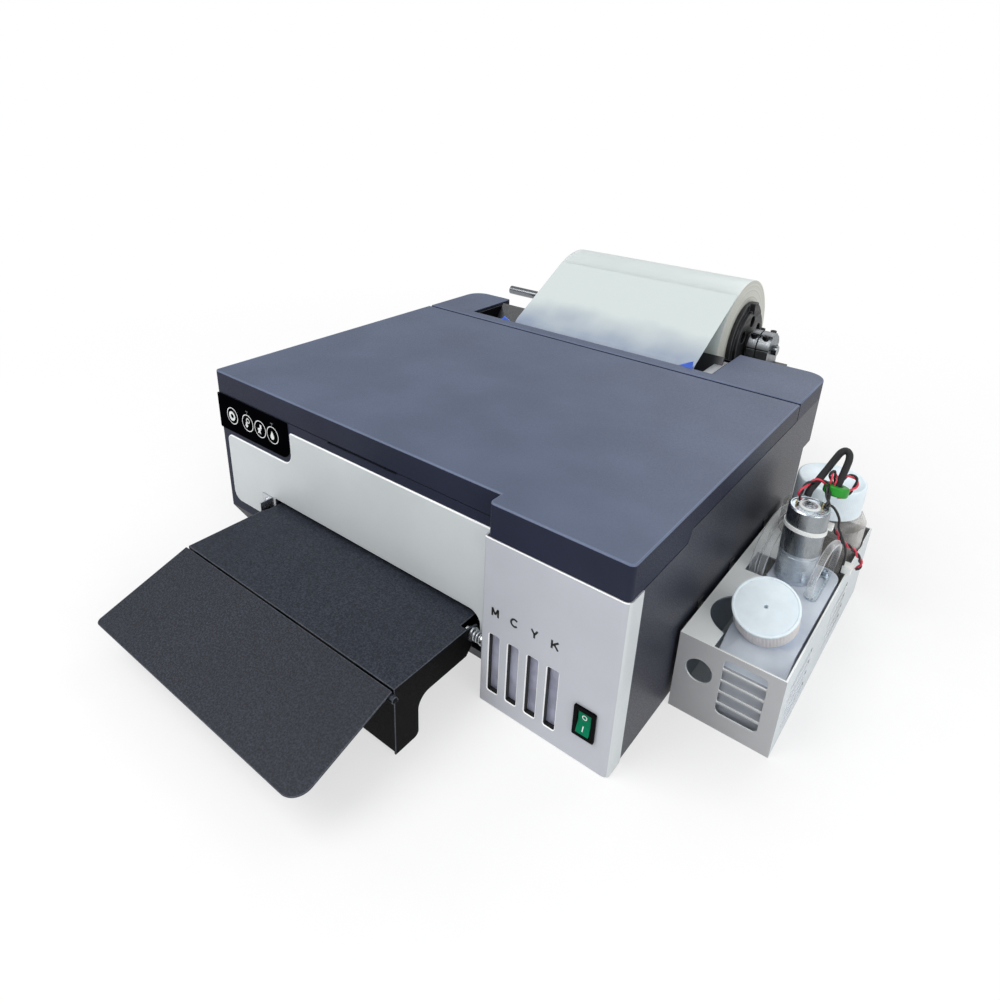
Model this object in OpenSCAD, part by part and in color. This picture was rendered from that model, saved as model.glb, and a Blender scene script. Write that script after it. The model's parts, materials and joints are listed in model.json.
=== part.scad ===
// Desktop roll-fed inkjet printer with a catch tray, a film roll at the rear and a side ink station.
// Millimetres, +X right, -Y front, +Z up. Modules are drawn from the middle of the casing's front
// face on the table, and in_place() then puts the origin under the middle of the whole machine.

/* [Casing] */
// Width of the casing
body_w = 403; // [390:1:430]
// Depth of the casing, rear cover included
body_d = 353; // [348:1:370]
// Height of the closed casing
body_h = 158; // [156:1:170]
// Wall of the moulded covers
wall = 2.5; // [2:0.1:3]
// Depth of the lid, from the front face to the rear seam
lid_d = 271; // [268:1:274]
// Height of the lid's front skirt
skirt_h = 19.2; // [18:0.1:20]
// Height of the lid's skirt over the ink bay
bay_skirt_h = 24; // [23:0.1:25]
// How far the ink bay stands in front of the casing
bay_out = 11.3; // [10:0.1:14]
// Left edge of the ink bay, from the middle of the casing
bay_x = 103.2; // [101:0.1:105]
// Height of the casing's underside above the table at the front left
chin_z = 26.5; // [24:0.5:28]
// Thickness of the folded sheet metal
sheet = 1.2; // [1:0.1:1.5]

/* [Lid hinge] */
// Diameter of the lid hinge pins
lid_pin_d = 3; // [2.8:0.1:3.2]
// Distance of each lid hinge from the middle
lid_hinge_x = 145; // [130:1:160]

/* [Control panel] */
// Diameter of a push button
button_d = 13; // [12:0.1:13.5]
// Height of the buttons' centres
button_z = 121; // [119:0.5:123]

/* [Ink bay] */
// Width of a tank window
window_w = 8.4; // [7:0.1:9]
// Distance between the tank windows
window_pitch = 15.1; // [14.6:0.1:15.4]
// Height of a tank window
window_h = 48.2; // [40:0.1:50]

/* [Tray] */
// Width of the tray
tray_w = 222.4; // [200:0.1:223]
// Height of the tray's top face
tray_z = 54.5; // [54:0.1:55]
// Depth of the tray plate in front of its pivot screws
tray_d = 73.5; // [70:0.5:80]
// Length of the hinged flap
flap_l = 75; // [60:1:90]
// Slope of the flap at rest
flap_slope = 18.7; // [12:0.1:22]
// Thickness of the tray plates
tray_t = 1.5; // [1.2:0.1:2]

/* [Film roll] */
// Diameter of the full film roll
roll_d = 128; // [110:1:130]
// Width of the film
film_w = 202; // [190:1:204]
// Outer diameter of the roll's core
core_d = 82; // [80:1:84]
// Diameter of the spindle
spindle_d = 10; // [9:0.5:11]
// Distance of the spindle behind the front face
roll_y = 410; // [408:1:414]
// Height of the spindle
roll_z = 151; // [149:1:153]

/* [Feed] */
// Diameter of the feed roller
feed_d = 16; // [14:0.5:17]
// Teeth on the feed gear
feed_teeth = 48; // [40:1:52]
// Teeth on the motor pinion
pinion_teeth = 12; // [10:1:14]
// Diameter of the carriage rail
rail_d = 10; // [9:0.5:11]

/* [Side ink station] */
// Width of the station's box
box_w = 68.5; // [66:0.5:76]
// Depth of the station's box
box_d = 217; // [214:1:230]
// Height of the station's box
box_h = 63; // [60:1:66]
// Diameter of the clear bottle
bottle_d = 62; // [56:0.5:62]
// Height of the clear bottle's shoulder
bottle_h = 87; // [80:1:92]
// Diameter of the stirring motor
motor_d = 27.6; // [24:0.2:28]
// Height of the stirring motor above the ink tank
motor_h = 61; // [50:1:66]

/* [Hidden] */
$fn = 48;

// Clearances
run = 0.05;        // radial clearance of a turning or sliding fit
seam = 0.8;        // open seam under the lid
air = 0.3;         // gap between moving faces
bite = 1;          // extra length of a cutting tool past a face

// Casing
hw = body_w / 2;
lid_low = body_h - skirt_h;
bay_lid_low = body_h - bay_skirt_h;
lid_low_rear = body_h - 15.8;
ramp_y0 = 61.5;
ramp_y1 = 67.4;
cover_y = lid_d + 1;
rear_low_y = body_d - 25;
ledge_z = 100;
shell_z0 = 2;
pan_z = 5;
pan_t = 2.5;
pan_top = pan_z + pan_t;
rear_r = 18;
inner_w = hw - wall;
bay_panel_x = hw + 0.5;

// Rear opening for the film
well_x0 = -153;
well_x1 = 121;
well_y = 286;
well_wall = 2.5;
well_gap = 0.3;
film_t = 0.4;
film_x = 0.6;
film_y = 290;
film_bend_z = 155;
plate_y0 = 294;
plate_z0 = 97;
plate_dir = 54;
plate_l = 74;

// Lid hinge
lid_axis_r = 4;
lid_axis_y = lid_d - 0.5 - lid_axis_r;
lid_axis_z = body_h - lid_axis_r;
knuckle_w = 4.6;
lug_w = 4;

// Front
panel_z1 = 130.4;
panel_x0 = -191.8;
slot_z = 59.7;
tray_x0 = -131;
tray_x1 = tray_x0 + tray_w;
control_x0 = 0.7 - hw;
control_x1 = -106;
control_z0 = 105.4;
button_x = [-181.3, -159.6, -142.4, -125.9];
button_reach = 6;

// Ink bay
window_x0 = 113;
window_z0 = 12.8;
bay_front = -bay_out;
panel_front = bay_front - sheet;
tank_w = window_pitch - 2.1;
tank_z1 = 64;
switch_x = 183.4;
switch_z = 34.7;
switch_w = 15.2;
switch_h = 23.4;
rocker_w = 9;
rocker_h = 17;
rocker_tilt = 8;
rocker_y = panel_front + 2;

// Tray
pivot_y = -8;
pivot_z = 47.3;
tray_front = pivot_y - tray_d;
flange_z0 = 31.2;
leg_w = 21;
flap_pin_d = 2.4;
knuckle_r = 2.4;
flap_y = tray_front - knuckle_r - 0.2;
flap_rise = knuckle_r + 0.25 + tray_t;
flap_z = tray_z - flap_rise - 0.4;
flap_knuckles = [-95, 55];
tray_knuckles = [-125, -25, 75];
knuckle_l = 20;

// Film roll
roll_r = roll_d / 2;
roll_x1 = film_x + film_w / 2;
roll_x0 = film_x - film_w / 2;
hub_r = 43;
disc_r = 36;
block_r = 17;
shelf_z = roll_z - block_r;
bracket_y = body_d + 3;
spindle_x0 = -192;
spindle_x1 = 139;

// Feed train
feed_y = 200;
film_z = 56;
feed_r = feed_d / 2;
feed_z = film_z - feed_r;
pinch_r = 5;
pinch_z = film_z + film_t + 0.1 + pinch_r;
plate_x = 170;
platen_x = 106;
plate_t = 2;
gear_m = 1;
gear_r = feed_teeth * gear_m / 2;
pinion_r = pinion_teeth * gear_m / 2;
gear_dir = 20;
pinion_y = feed_y + (gear_r + pinion_r) * cos(gear_dir);
pinion_z = feed_z + (gear_r + pinion_r) * sin(gear_dir);
gear_x0 = -plate_x - plate_t - 8;
gear_w = 6;
rail_y = 150;
rail_z = 92;
carriage_x = 128;
carriage_w = 76;
pulley_r = 6;
pulley_x = 156;
pulley_z = 112;
belt_y = 160.5;
belt_w = 5;
belt_low = pulley_z - pulley_r - 1.3;
back_y = 168;

// Side ink station
box_x0 = hw + 3;
box_x1 = box_x0 + box_w;
box_y0 = 68;
box_y1 = box_y0 + box_d;
floor_z = sheet;
tank_x0 = 227;
tank_x1 = 270;
tank_y0 = 72;
tank_y1 = 205;
tank_top = 62.5;
tank_wall = 2;
neck_x = 245.2;
neck_y = 112.7;
neck_z = 63.2;
neck_tilt = 30;
neck_r = 17.4;
neck_l = 24;
shoulder = 8.4;
cap_r = 21.3;
cap_h = 17;
bottle_x = 240.5;
bottle_y = 252.3;
bottle_r = bottle_d / 2;
bottle_neck_r = 20.5;
bottle_cap_r = 25.3;
bottle_cap_h = 24.5;
motor_x = 242.5;
motor_y = 178;
motor_r = motor_d / 2;
motor_top = tank_top + motor_h;

// Routes of the tubes, the cable and the wires
tube_left_a = [[222, 169, 1.3], [222, 169, 20], [222, 169, 40], [222, 168, 54],
    [222.5, 166, 64], [223, 165, 71], [224, 168, 82], [225.5, 178, 93], [228, 190, 99],
    [233, 199, 100], [238, 206, 95], [241, 210.5, 86], [242, 213, 74], [242, 214, 60],
    [242, 214, 40], [242, 214, 20], [242, 214, 1.3]];
tube_left_b = [[216, 171, 1.3], [216, 171, 20], [216, 171, 40], [216, 170, 54],
    [216, 168.5, 64], [216.5, 167.5, 72], [218, 171, 86], [220, 182, 98], [224, 194, 105],
    [230, 204, 106.5], [237, 212, 102], [243.5, 216.5, 93], [246.5, 218, 80], [248.5, 218, 66],
    [248.5, 218, 50], [248.5, 218, 30], [248.5, 218, 1.3]];
tube_right = [[258.5, 160, 70], [258.5, 164, 75], [258.8, 172, 80.5], [259.3, 180, 85.5],
    [260.5, 190, 89.5], [262, 200, 88.5], [262.5, 208, 82], [262, 212.5, 72], [261, 214, 60],
    [260, 214, 40], [260, 214, 20], [260, 214, 1.3]];
cable_route = [[237.5, 187.5, 124.2], [238, 189.5, 128.5], [239.5, 195, 132], [241.5, 201, 137],
    [243.8, 206, 143], [246, 209.8, 148.8], [247.8, 212.4, 152.8], [250.4, 214, 154.6],
    [253, 213.8, 153], [254, 212.4, 149.4], [253.8, 210.4, 144.4], [253.2, 207.6, 138],
    [252.5, 205.5, 132.5], [252, 204, 127.5]];
// Direction that no stretch of the cable runs along
cable_side = [-0.3, 0.9, -0.4];
wire_route = [[253.3, 189.8, 107], [257, 193, 103.5], [261, 196, 98], [265, 199, 92],
              [269.5, 202.5, 88], [273.5, 205.5, 84], [277, 208, 79], [279, 210, 74],
              [279, 210.5, 70], [277, 209, 67.5]];

// Middle of the machine on the table
mid_x = (box_x1 - hw) / 2;
flap_front = flap_y - flap_l * cos(flap_slope) - flap_rise * sin(flap_slope);
mid_y = (roll_y + roll_r + flap_front) / 2;

// Colours of the finishes
slate = "#5f6577";
slate_dark = "#3a3d46";
gloss_black = "#15161a";
light_grey = "#c5cdd1";
coated_black = "#24272d";
soft_black = "#1d1f22";
bright_steel = "#b9bec4";
film_white = "#dbe8e6";
natural_plastic = "#e4f0f7";
clear = "#dfe8ea";

// ---------------------------------------------------------------- helpers

module in_place() {
    translate([-mid_x, -mid_y, 0]) children();
}

// Extrudes a (y, z) outline along X from x0 to x1
module along_x(x0, x1) {
    translate([x0, 0, 0]) rotate([90, 0, 90]) linear_extrude(x1 - x0) children();
}

// Extrudes an (x, z) outline along Y from y0 to y1
module along_y(y0, y1) {
    translate([0, y1, 0]) rotate([90, 0, 0]) linear_extrude(y1 - y0) children();
}

// Extrudes an (x, y) outline up from z0 to z1
module along_z(z0, z1) {
    translate([0, 0, z0]) linear_extrude(z1 - z0) children();
}

// Box between two corners
module block(a, b) {
    translate(a) cube(b - a);
}

module rod_x(x0, x1, y, z, r) {
    translate([x0, y, z]) rotate([0, 90, 0]) cylinder(r = r, h = x1 - x0);
}

module rod_y(x, y0, y1, z, r) {
    translate([x, y0, z]) rotate([-90, 0, 0]) cylinder(r = r, h = y1 - y0);
}

module rod_z(x, y, z0, z1, r) {
    translate([x, y, z0]) cylinder(r = r, h = z1 - z0);
}

// What a rounded corner removes; the corner is at the origin and the shape lies towards +x +y
module corner_waste(r) {
    difference() {
        translate([-bite, -bite]) square(r + bite);
        translate([r, r]) circle(r);
    }
}

// Rectangle between a and b with radii for the corners: low-left, low-right, top-right, top-left
module plate(a, b, r = [0, 0, 0, 0]) {
    difference() {
        translate(a) square(b - a);
        if (r[0] > 0) translate(a) corner_waste(r[0]);
        if (r[1] > 0) translate([b[0], a[1]]) rotate(90) corner_waste(r[1]);
        if (r[2] > 0) translate(b) rotate(180) corner_waste(r[2]);
        if (r[3] > 0) translate([a[0], b[1]]) rotate(270) corner_waste(r[3]);
    }
}

// Gear outline with low, narrow teeth; a tooth is centred on the x axis
module gear_outline(teeth, r) {
    step = 360 / teeth;
    polygon([for (i = [0:teeth - 1], k = [[-0.32, -1], [-0.16, 0.6], [0.16, 0.6], [0.32, -1]])
        let (a = (i + k[0]) * step, q = r + k[1] * gear_m) [q * cos(a), q * sin(a)]]);
}

function unit(v) = v / norm(v);
function along(p, i) = unit(p[min(i + 1, len(p) - 1)] - p[max(i - 1, 0)]);

// Round tube swept through the points p, none of whose stretches runs along side
module sweep(p, d, sides = 8, side = [1, 0, 0]) {
    n = len(p);
    rings = [for (i = [0:n - 1])
        let (t = along(p, i), u = unit(cross(t, side)), v = cross(t, u))
        for (k = [0:sides - 1]) let (a = 360 * k / sides)
            p[i] + d / 2 * (u * cos(a) + v * sin(a))];
    walls = [for (i = [0:n - 2], k = [0:sides - 1]) let (m = (k + 1) % sides)
        [i * sides + k, (i + 1) * sides + k, (i + 1) * sides + m, i * sides + m]];
    ends = [[for (k = [0:sides - 1]) k], [for (k = [sides - 1:-1:0]) (n - 1) * sides + k]];
    polyhedron(rings, concat(walls, ends), convexity = 6);
}

// ---------------------------------------------------------------- casing

module casing_outline(y1, r, inset = 0) {
    corner = max(3.5 - inset, 0);
    plate([inset - hw, inset], [hw - inset, y1 - inset], [corner, corner, r - inset, r - inset]);
}

// The seam between the casing and the lid, as the (y, z) region above it
module above_seam(front_z, rear_z) {
    polygon([[-bay_out - 9, front_z], [ramp_y0, front_z], [ramp_y1, rear_z],
        [body_d + 9, rear_z], [body_d + 9, body_h + 9], [-bay_out - 9, body_h + 9]]);
}

module base_pan() color(slate_dark) in_place() {
    difference() {
        along_z(pan_z, pan_top) difference() {
            casing_outline(rear_low_y, 12, wall);
            plate([-hw, 0], [hw, 13]);
        }
        for (x = [-175, 175], y = [45, 305]) rod_z(x, y, pan_z - bite, pan_top + bite, 2.1);
    }
    // Sloping chin under the front
    along_x(-inner_w, bay_x)
        polygon([[0, chin_z], [13.2, pan_z], [16.2, pan_z], [16.2, pan_top], [2.95, chin_z]]);
    // Floor of the ink bay
    block([bay_x + wall, bay_front + wall, pan_z], [inner_w - 0.7, 13, pan_top]);
}

module feet() color(soft_black) in_place() {
    for (x = [-175, 175], y = [45, 305]) {
        rod_z(x, y, 0, pan_z, 8);
        rod_z(x, y, pan_z, pan_top, 2);
    }
}

module body_shell() color(slate_dark) in_place() difference() {
    union() {
        // Upper casing
        along_z(ledge_z, lid_low_rear - seam) difference() {
            casing_outline(body_d, rear_r);
            casing_outline(body_d, rear_r, wall);
        }
        // Ledge under the overhanging rear
        along_z(ledge_z, ledge_z + wall) difference() {
            casing_outline(body_d, rear_r);
            casing_outline(rear_low_y, 12, wall);
        }
        // Lower casing
        along_z(shell_z0, ledge_z + wall) difference() {
            casing_outline(rear_low_y, 12);
            casing_outline(rear_low_y, 12, wall);
        }
        // Ink bay
        along_z(shell_z0, bay_lid_low - seam) difference() {
            plate([bay_x, bay_front], [hw - 0.7, wall], [0.8, 2.8, 0, 0]);
            plate([bay_x + wall, bay_front + wall], [hw - 0.7 - wall, wall + bite]);
        }
    }
    // Inside of the ink bay opens into the casing
    block([bay_x + wall, -bite, pan_z], [hw - 0.7 - wall, wall + bite, bay_lid_low - seam - 8]);
    // Top seam, lower over the ink bay
    along_x(-hw - bite, bay_x - 0.01) above_seam(lid_low - seam, lid_low_rear - seam);
    along_x(bay_x - 0.02, hw + bite) above_seam(bay_lid_low - seam, lid_low_rear - seam);
    // Finger recess under the lid's front
    block([-58.4, -bite, lid_low - seam - 1.6], [14.2, wall + bite, lid_low]);
    // Sloping chin
    block([-inner_w, -bite, -bite], [bay_x, wall + bite, chin_z]);
    along_x(-hw - bite, bay_x)
        polygon([[-bite, -bite], [15, -bite], [15, shell_z0], [0, chin_z], [-bite, chin_z]]);
    // Right front corner is covered by the folded tank panel
    block([hw - 0.7, -bay_out - bite, -bite], [hw + bite, 4.2, bay_lid_low]);
    // Film outlet above the tray
    block([tray_x0 - bite, -bite, chin_z], [tray_x1 + bite, wall + bite, slot_z]);
    // Buttons
    for (x = button_x) rod_y(x, -bite, wall + bite, button_z, button_d / 2 + run);
    // Tank windows and the switch
    block([window_x0 - tank_w / 2 - 0.3, bay_front - bite, pan_top],
        [window_x0 + 3 * window_pitch + tank_w / 2 + 0.3, bay_front + wall + bite, tank_z1 + 1]);
    block([switch_x - 6.3, bay_front - bite, switch_z - 10.3],
        [switch_x + 6.3, bay_front + wall + bite, switch_z + 10.3]);
    // Rear opening behind the feed well
    block([well_x0, body_d - wall - bite, ledge_z + wall], [well_x1, body_d + bite, body_h]);
    // Power inlet
    block([136.5, rear_low_y - wall - bite, 20], [163.5, rear_low_y + bite, 40]);
    // Front panel screw and roll bracket screws
    rod_y(-140.8, -bite, wall + bite, tray_z, 1.3);
    for (x = [-146, -122, 122.6, 142.6], z = [108, 128])
        rod_y(x, body_d - wall - bite, body_d + bite, z, 1.5);
}

module cover_outline(inset) {
    difference() {
        plate([inset - hw, cover_y + inset], [hw - inset, body_d - inset],
            [0, 0, rear_r - inset, rear_r - inset]);
        plate([well_x0 - inset, well_y - inset], [well_x1 + inset, body_d + bite]);
    }
}

module rear_cover() color(slate) in_place() {
    difference() {
        along_z(lid_low_rear - seam, body_h) cover_outline(0);
        along_z(lid_low_rear - seam - bite, body_h - wall) cover_outline(wall);
    }
    // Lugs that hold the lid hinge pins
    for (s = [-1, 1], k = [-1, 1]) {
        x = s * lid_hinge_x + k * (knuckle_w / 2 + 0.2 + lug_w / 2);
        difference() {
            union() {
                along_x(x - lug_w / 2, x + lug_w / 2)
                    polygon([[cover_y + wall, lid_low_rear], [lid_axis_y - 3, lid_low_rear],
                        [lid_axis_y - 3, lid_axis_z], [lid_axis_y, lid_axis_z],
                        [lid_axis_y, lid_low_rear + 5], [cover_y + wall, lid_low_rear + 5]]);
                rod_x(x - lug_w / 2, x + lug_w / 2, lid_axis_y, lid_axis_z, 2.6);
            }
            rod_x(x - lug_w, x + lug_w, lid_axis_y, lid_axis_z, lid_pin_d / 2 + 0.01);
        }
    }
}

module lid_outline(inset) {
    corner = 3.5 - inset;
    plate([inset - hw, inset], [hw - inset, lid_d - inset], [corner, 0, 0, 0]);
    plate([bay_x + 1.2 + inset, inset - bay_out - 0.9], [hw - inset, lid_d / 2],
        [corner, corner, 0, 0]);
}

module lid() color(slate) in_place() {
    half = knuckle_w / 2 + 0.2 + lug_w + 0.3;
    difference() {
        intersection() {
            difference() {
                along_z(bay_lid_low, body_h) lid_outline(0);
                along_z(bay_lid_low - bite, body_h - wall) lid_outline(wall);
            }
            // The rear top edge is rounded about the hinge axis
            along_x(-hw - bite, hw + bite)
                plate([-bay_out - 9, bay_lid_low - bite], [lid_axis_y + lid_axis_r, body_h],
                    [0, 0, lid_axis_r, 0]);
        }
        // Skirt heights follow the seam
        along_x(-hw - bite, bay_x + 1.2) difference() {
            polygon([[-1, 0], [lid_d + 9, 0], [lid_d + 9, body_h], [-1, body_h]]);
            above_seam(lid_low, lid_low_rear);
        }
        along_x(bay_x + 1.2, hw + bite) difference() {
            polygon([[ramp_y0, 0], [lid_d + 9, 0], [lid_d + 9, body_h], [ramp_y0, body_h]]);
            above_seam(bay_lid_low, lid_low_rear);
        }
        // Room for the hinge lugs
        for (s = [-1, 1]) {
            block([s * lid_hinge_x - half, lid_axis_y - 4, bay_lid_low],
                [s * lid_hinge_x + half, lid_d + bite, lid_axis_z]);
            rod_x(s * lid_hinge_x - half, s * lid_hinge_x + half, lid_axis_y, lid_axis_z, 3);
        }
    }
    for (s = [-1, 1]) difference() {
        rod_x(s * lid_hinge_x - knuckle_w / 2, s * lid_hinge_x + knuckle_w / 2,
            lid_axis_y, lid_axis_z, 3.7);
        rod_x(s * lid_hinge_x - knuckle_w, s * lid_hinge_x + knuckle_w,
            lid_axis_y, lid_axis_z, lid_pin_d / 2 + run);
    }
}

module lid_hinge_pins() color(bright_steel) in_place() {
    half = knuckle_w / 2 + 0.2 + lug_w;
    for (s = [-1, 1])
        rod_x(s * lid_hinge_x - half, s * lid_hinge_x + half, lid_axis_y, lid_axis_z,
            lid_pin_d / 2);
}

// ---------------------------------------------------------------- front

module front_panel() color(light_grey) in_place() along_y(-sheet, 0) difference() {
    union() {
        plate([panel_x0, 36], [bay_x - sheet, 101.2], [9, 0, 0, 6]);
        plate([-103.7, 60], [bay_x - sheet, panel_z1], [0, 0, 0, 2]);
        // Round inner corner beside the control panel
        difference() {
            translate([-113.7, 96]) square([12, 15.2]);
            translate([-113.7, 111.2]) circle(10);
        }
    }
    plate([tray_x0 - 0.8, 20], [tray_x1 + 0.8, slot_z], [0, 0, 10, 3]);
    translate([-140.8, tray_z]) circle(1.3);
}

module tank_panel() color(light_grey) in_place() difference() {
    along_z(0.5, bay_lid_low - seam) difference() {
        plate([bay_x - sheet, panel_front], [bay_panel_x, 4.2], [2, 4, 0, 0]);
        plate([bay_x, bay_front], [bay_panel_x - sheet, 4.2 + bite], [0.8, 2.8, 0, 0]);
        plate([bay_x - sheet - bite, -0.001], [bay_x + bite, 5]);
    }
    for (i = [0:3]) {
        x = window_x0 + i * window_pitch;
        along_y(panel_front - bite, bay_front + bite)
            plate([x - window_w / 2, window_z0], [x + window_w / 2, window_z0 + window_h],
                [1.5, 1.5, 1.5, 1.5]);
    }
    block([switch_x - 6.3, panel_front - bite, switch_z - 10.3],
        [switch_x + 6.3, bay_front + bite, switch_z + 10.3]);
    // Hole of the tray's right pivot screw
    rod_x(bay_x - sheet - bite, bay_x + bite, pivot_y, pivot_z, 2.01);
}

module control_panel() color(gloss_black) in_place() difference() {
    along_y(-0.8, 0)
        plate([control_x0, control_z0], [control_x1, lid_low - seam], [1.5, 9, 1.5, 1.5]);
    for (x = button_x) rod_y(x, -1 - bite, bite, button_z, button_d / 2 + run);
}

// Push button with a shallow dished face
module push_button(i) {
    difference() {
        rod_y(button_x[i], -1.2, button_reach, button_z, button_d / 2);
        translate([button_x[i], -26, button_z]) sphere(r = 25.1, $fn = 96);
    }
}

module button_1() color(gloss_black) in_place() push_button(0);
module button_2() color(gloss_black) in_place() push_button(1);
module button_3() color(gloss_black) in_place() push_button(2);
module button_4() color(gloss_black) in_place() push_button(3);

module switch_bezel() color(gloss_black) in_place() difference() {
    union() {
        along_y(panel_front - 1.8, panel_front)
            plate([switch_x - switch_w / 2, switch_z - switch_h / 2],
                [switch_x + switch_w / 2, switch_z + switch_h / 2], [1, 1, 1, 1]);
        block([switch_x - 6.2, panel_front, switch_z - 10.2],
            [switch_x + 6.2, panel_front + 16, switch_z + 10.2]);
        for (z = [switch_z - 6, switch_z, switch_z + 6])
            block([switch_x - 2.4, panel_front + 16, z - 0.4],
                [switch_x + 2.4, panel_front + 23, z + 0.4]);
    }
    block([switch_x - rocker_w / 2 - 0.2, panel_front - 3, switch_z - rocker_h / 2 - 0.3],
        [switch_x + rocker_w / 2 + 0.2, panel_front + 9, switch_z + rocker_h / 2 + 0.3]);
    rod_x(switch_x - rocker_w / 2 - 1.1, switch_x + rocker_w / 2 + 1.1, rocker_y, switch_z,
        1 + run);
}

module switch_rocker() color("#0f9a60") in_place()
    translate([0, rocker_y, switch_z]) rotate([-rocker_tilt, 0, 0]) {
        along_x(switch_x - rocker_w / 2, switch_x + rocker_w / 2)
            polygon([[-3.9, -7.9], [-2.7, 0], [-3.9, 7.9], [1, 7.4], [3.4, 2], [3.4, -2],
                [1, -7.4]]);
        rod_x(switch_x - rocker_w / 2 - 1, switch_x + rocker_w / 2 + 1, 0, 0, 1);
    }

module ink_tanks() color("#b9b6cf") in_place() for (i = [0:3]) {
    x = window_x0 + i * window_pitch;
    difference() {
        block([x - tank_w / 2, bay_front, pan_top], [x + tank_w / 2, 66, tank_z1]);
        block([x - tank_w / 2 + 1.2, bay_front + 1.2, pan_top + 1.2],
            [x + tank_w / 2 - 1.2, 64.8, tank_z1 - 1.2]);
    }
    rod_z(x, 52, tank_z1, tank_z1 + 7, 4.5);
}

// ---------------------------------------------------------------- tray

module tray() color(coated_black) in_place() {
    difference() {
        union() {
            block([tray_x0, tray_front, tray_z - tray_t], [tray_x1, -13.6, tray_z]);
            block([tray_x0 + 2, -13.6, tray_z - tray_t], [tray_x1 - 6, 5, tray_z]);
            // Side plates with a leg at the front
            for (x = [tray_x0, tray_x1 - tray_t]) along_x(x, x + tray_t) difference() {
                union() {
                    polygon([[tray_front, flange_z0], [-13.6, flange_z0], [-2.5, 43],
                        [-2.5, 51.5], [-13.6, tray_z - 0.01], [tray_front, tray_z - 0.01]]);
                    plate([tray_front, 0], [tray_front + leg_w, flange_z0 + 1], [0, 4, 0, 0]);
                    plate([tray_front, flange_z0 - 10], [tray_front + leg_w + 10, flange_z0 + 1]);
                }
                translate([tray_front + leg_w + 10, flange_z0 - 10]) circle(10);
            }
            // Front apron
            block([tray_x0, tray_front, 2], [tray_x1, tray_front + tray_t, tray_z]);
            // Flap hinge knuckles
            for (x = tray_knuckles) {
                rod_x(x, x + knuckle_l - 0.3, flap_y, flap_z, knuckle_r);
                block([x, flap_y, flap_z - knuckle_r],
                    [x + knuckle_l - 0.3, tray_front + 0.5, flap_z - 0.4]);
            }
        }
        rod_x(tray_x0 - bite, tray_x1 + bite, pivot_y, pivot_z, 2 + run);
        rod_x(tray_x0, tray_x1, flap_y, flap_z, flap_pin_d / 2 + run);
    }
}

module tray_flap() color(coated_black) in_place() translate([0, flap_y, flap_z])
    rotate([flap_slope, 0, 0]) {
        along_z(flap_rise - tray_t, flap_rise)
            plate([tray_x0, -flap_l], [tray_x1, 2.3], [4, 13, 0, 0]);
        for (x = flap_knuckles) difference() {
            union() {
                rod_x(x, x + knuckle_l - 0.3, 0, 0, knuckle_r);
                block([x, -knuckle_r, 0], [x + knuckle_l - 0.3, -knuckle_r + 2, flap_rise - 0.5]);
            }
            rod_x(x - bite, x + knuckle_l + bite, 0, 0, flap_pin_d / 2 + run);
        }
    }

module flap_hinge_pin() color(bright_steel) in_place()
    rod_x(tray_x0 + 5, tray_x1 - 0.5, flap_y, flap_z, flap_pin_d / 2);

// Pan-head screw along -Y with its head on the plane y
module front_screw(x, y, z, r, depth) {
    difference() {
        union() {
            rod_y(x, y - 1.8, y, z, r * 2);
            rod_y(x, y, y + depth, z, r);
        }
        block([x - r * 1.4, y - 3, z - 0.4], [x + r * 1.4, y - 1, z + 0.4]);
        block([x - 0.4, y - 3, z - r * 1.4], [x + 0.4, y - 1, z + r * 1.4]);
    }
}

module fixing_screws() color(bright_steel) in_place() {
    // Right pivot screw, with its washers and spring, into the tank panel
    rod_x(tray_x1 - tray_t - 3, tray_x1 - tray_t - 0.2, pivot_y, pivot_z, 4);
    rod_x(tray_x1 - tray_t - 0.2, bay_x, pivot_y, pivot_z, 2);
    rod_x(tray_x1 + 0.2, tray_x1 + 1.4, pivot_y, pivot_z, 5);
    for (k = [0:2])
        translate([tray_x1 + 3 + k * 2.4, pivot_y, pivot_z]) rotate([0, 90, 0])
            rotate_extrude() translate([3.2, 0]) circle(0.7);
    rod_x(bay_x - sheet - 1.4, bay_x - sheet, pivot_y, pivot_z, 4.4);
    // Left pivot screw in its small angle bracket on the front panel
    rod_x(tray_x0 - 3.4, tray_x0 + tray_t + 2, pivot_y, pivot_z, 2);
    rod_x(tray_x0 - 6, tray_x0 - 3.4, pivot_y, pivot_z, 4);
    difference() {
        union() {
            block([tray_x0 - 3.4, -14, 42], [tray_x0 - 2.2, -sheet, 60]);
            block([-147, -sheet - 1.2, 42], [tray_x0 - 2.2, -sheet, 60]);
        }
        rod_x(tray_x0 - 4, tray_x0 - 2, pivot_y, pivot_z, 2.001);
        rod_y(-140.8, -4, 0, tray_z, 1.3);
    }
    front_screw(-140.8, -sheet - 1.2, tray_z, 1.29, 8);
    // Socket screws of the bearing blocks
    for (x = [117, 128.5, -128.5], y = [roll_y - 11.5, roll_y + 11.5]) difference() {
        rod_z(x, y, roll_z + 12.5, roll_z + 16, 3);
        rod_z(x, y, roll_z + 14, roll_z + 17, 1.5);
    }
}

// ---------------------------------------------------------------- side ink station

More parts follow.
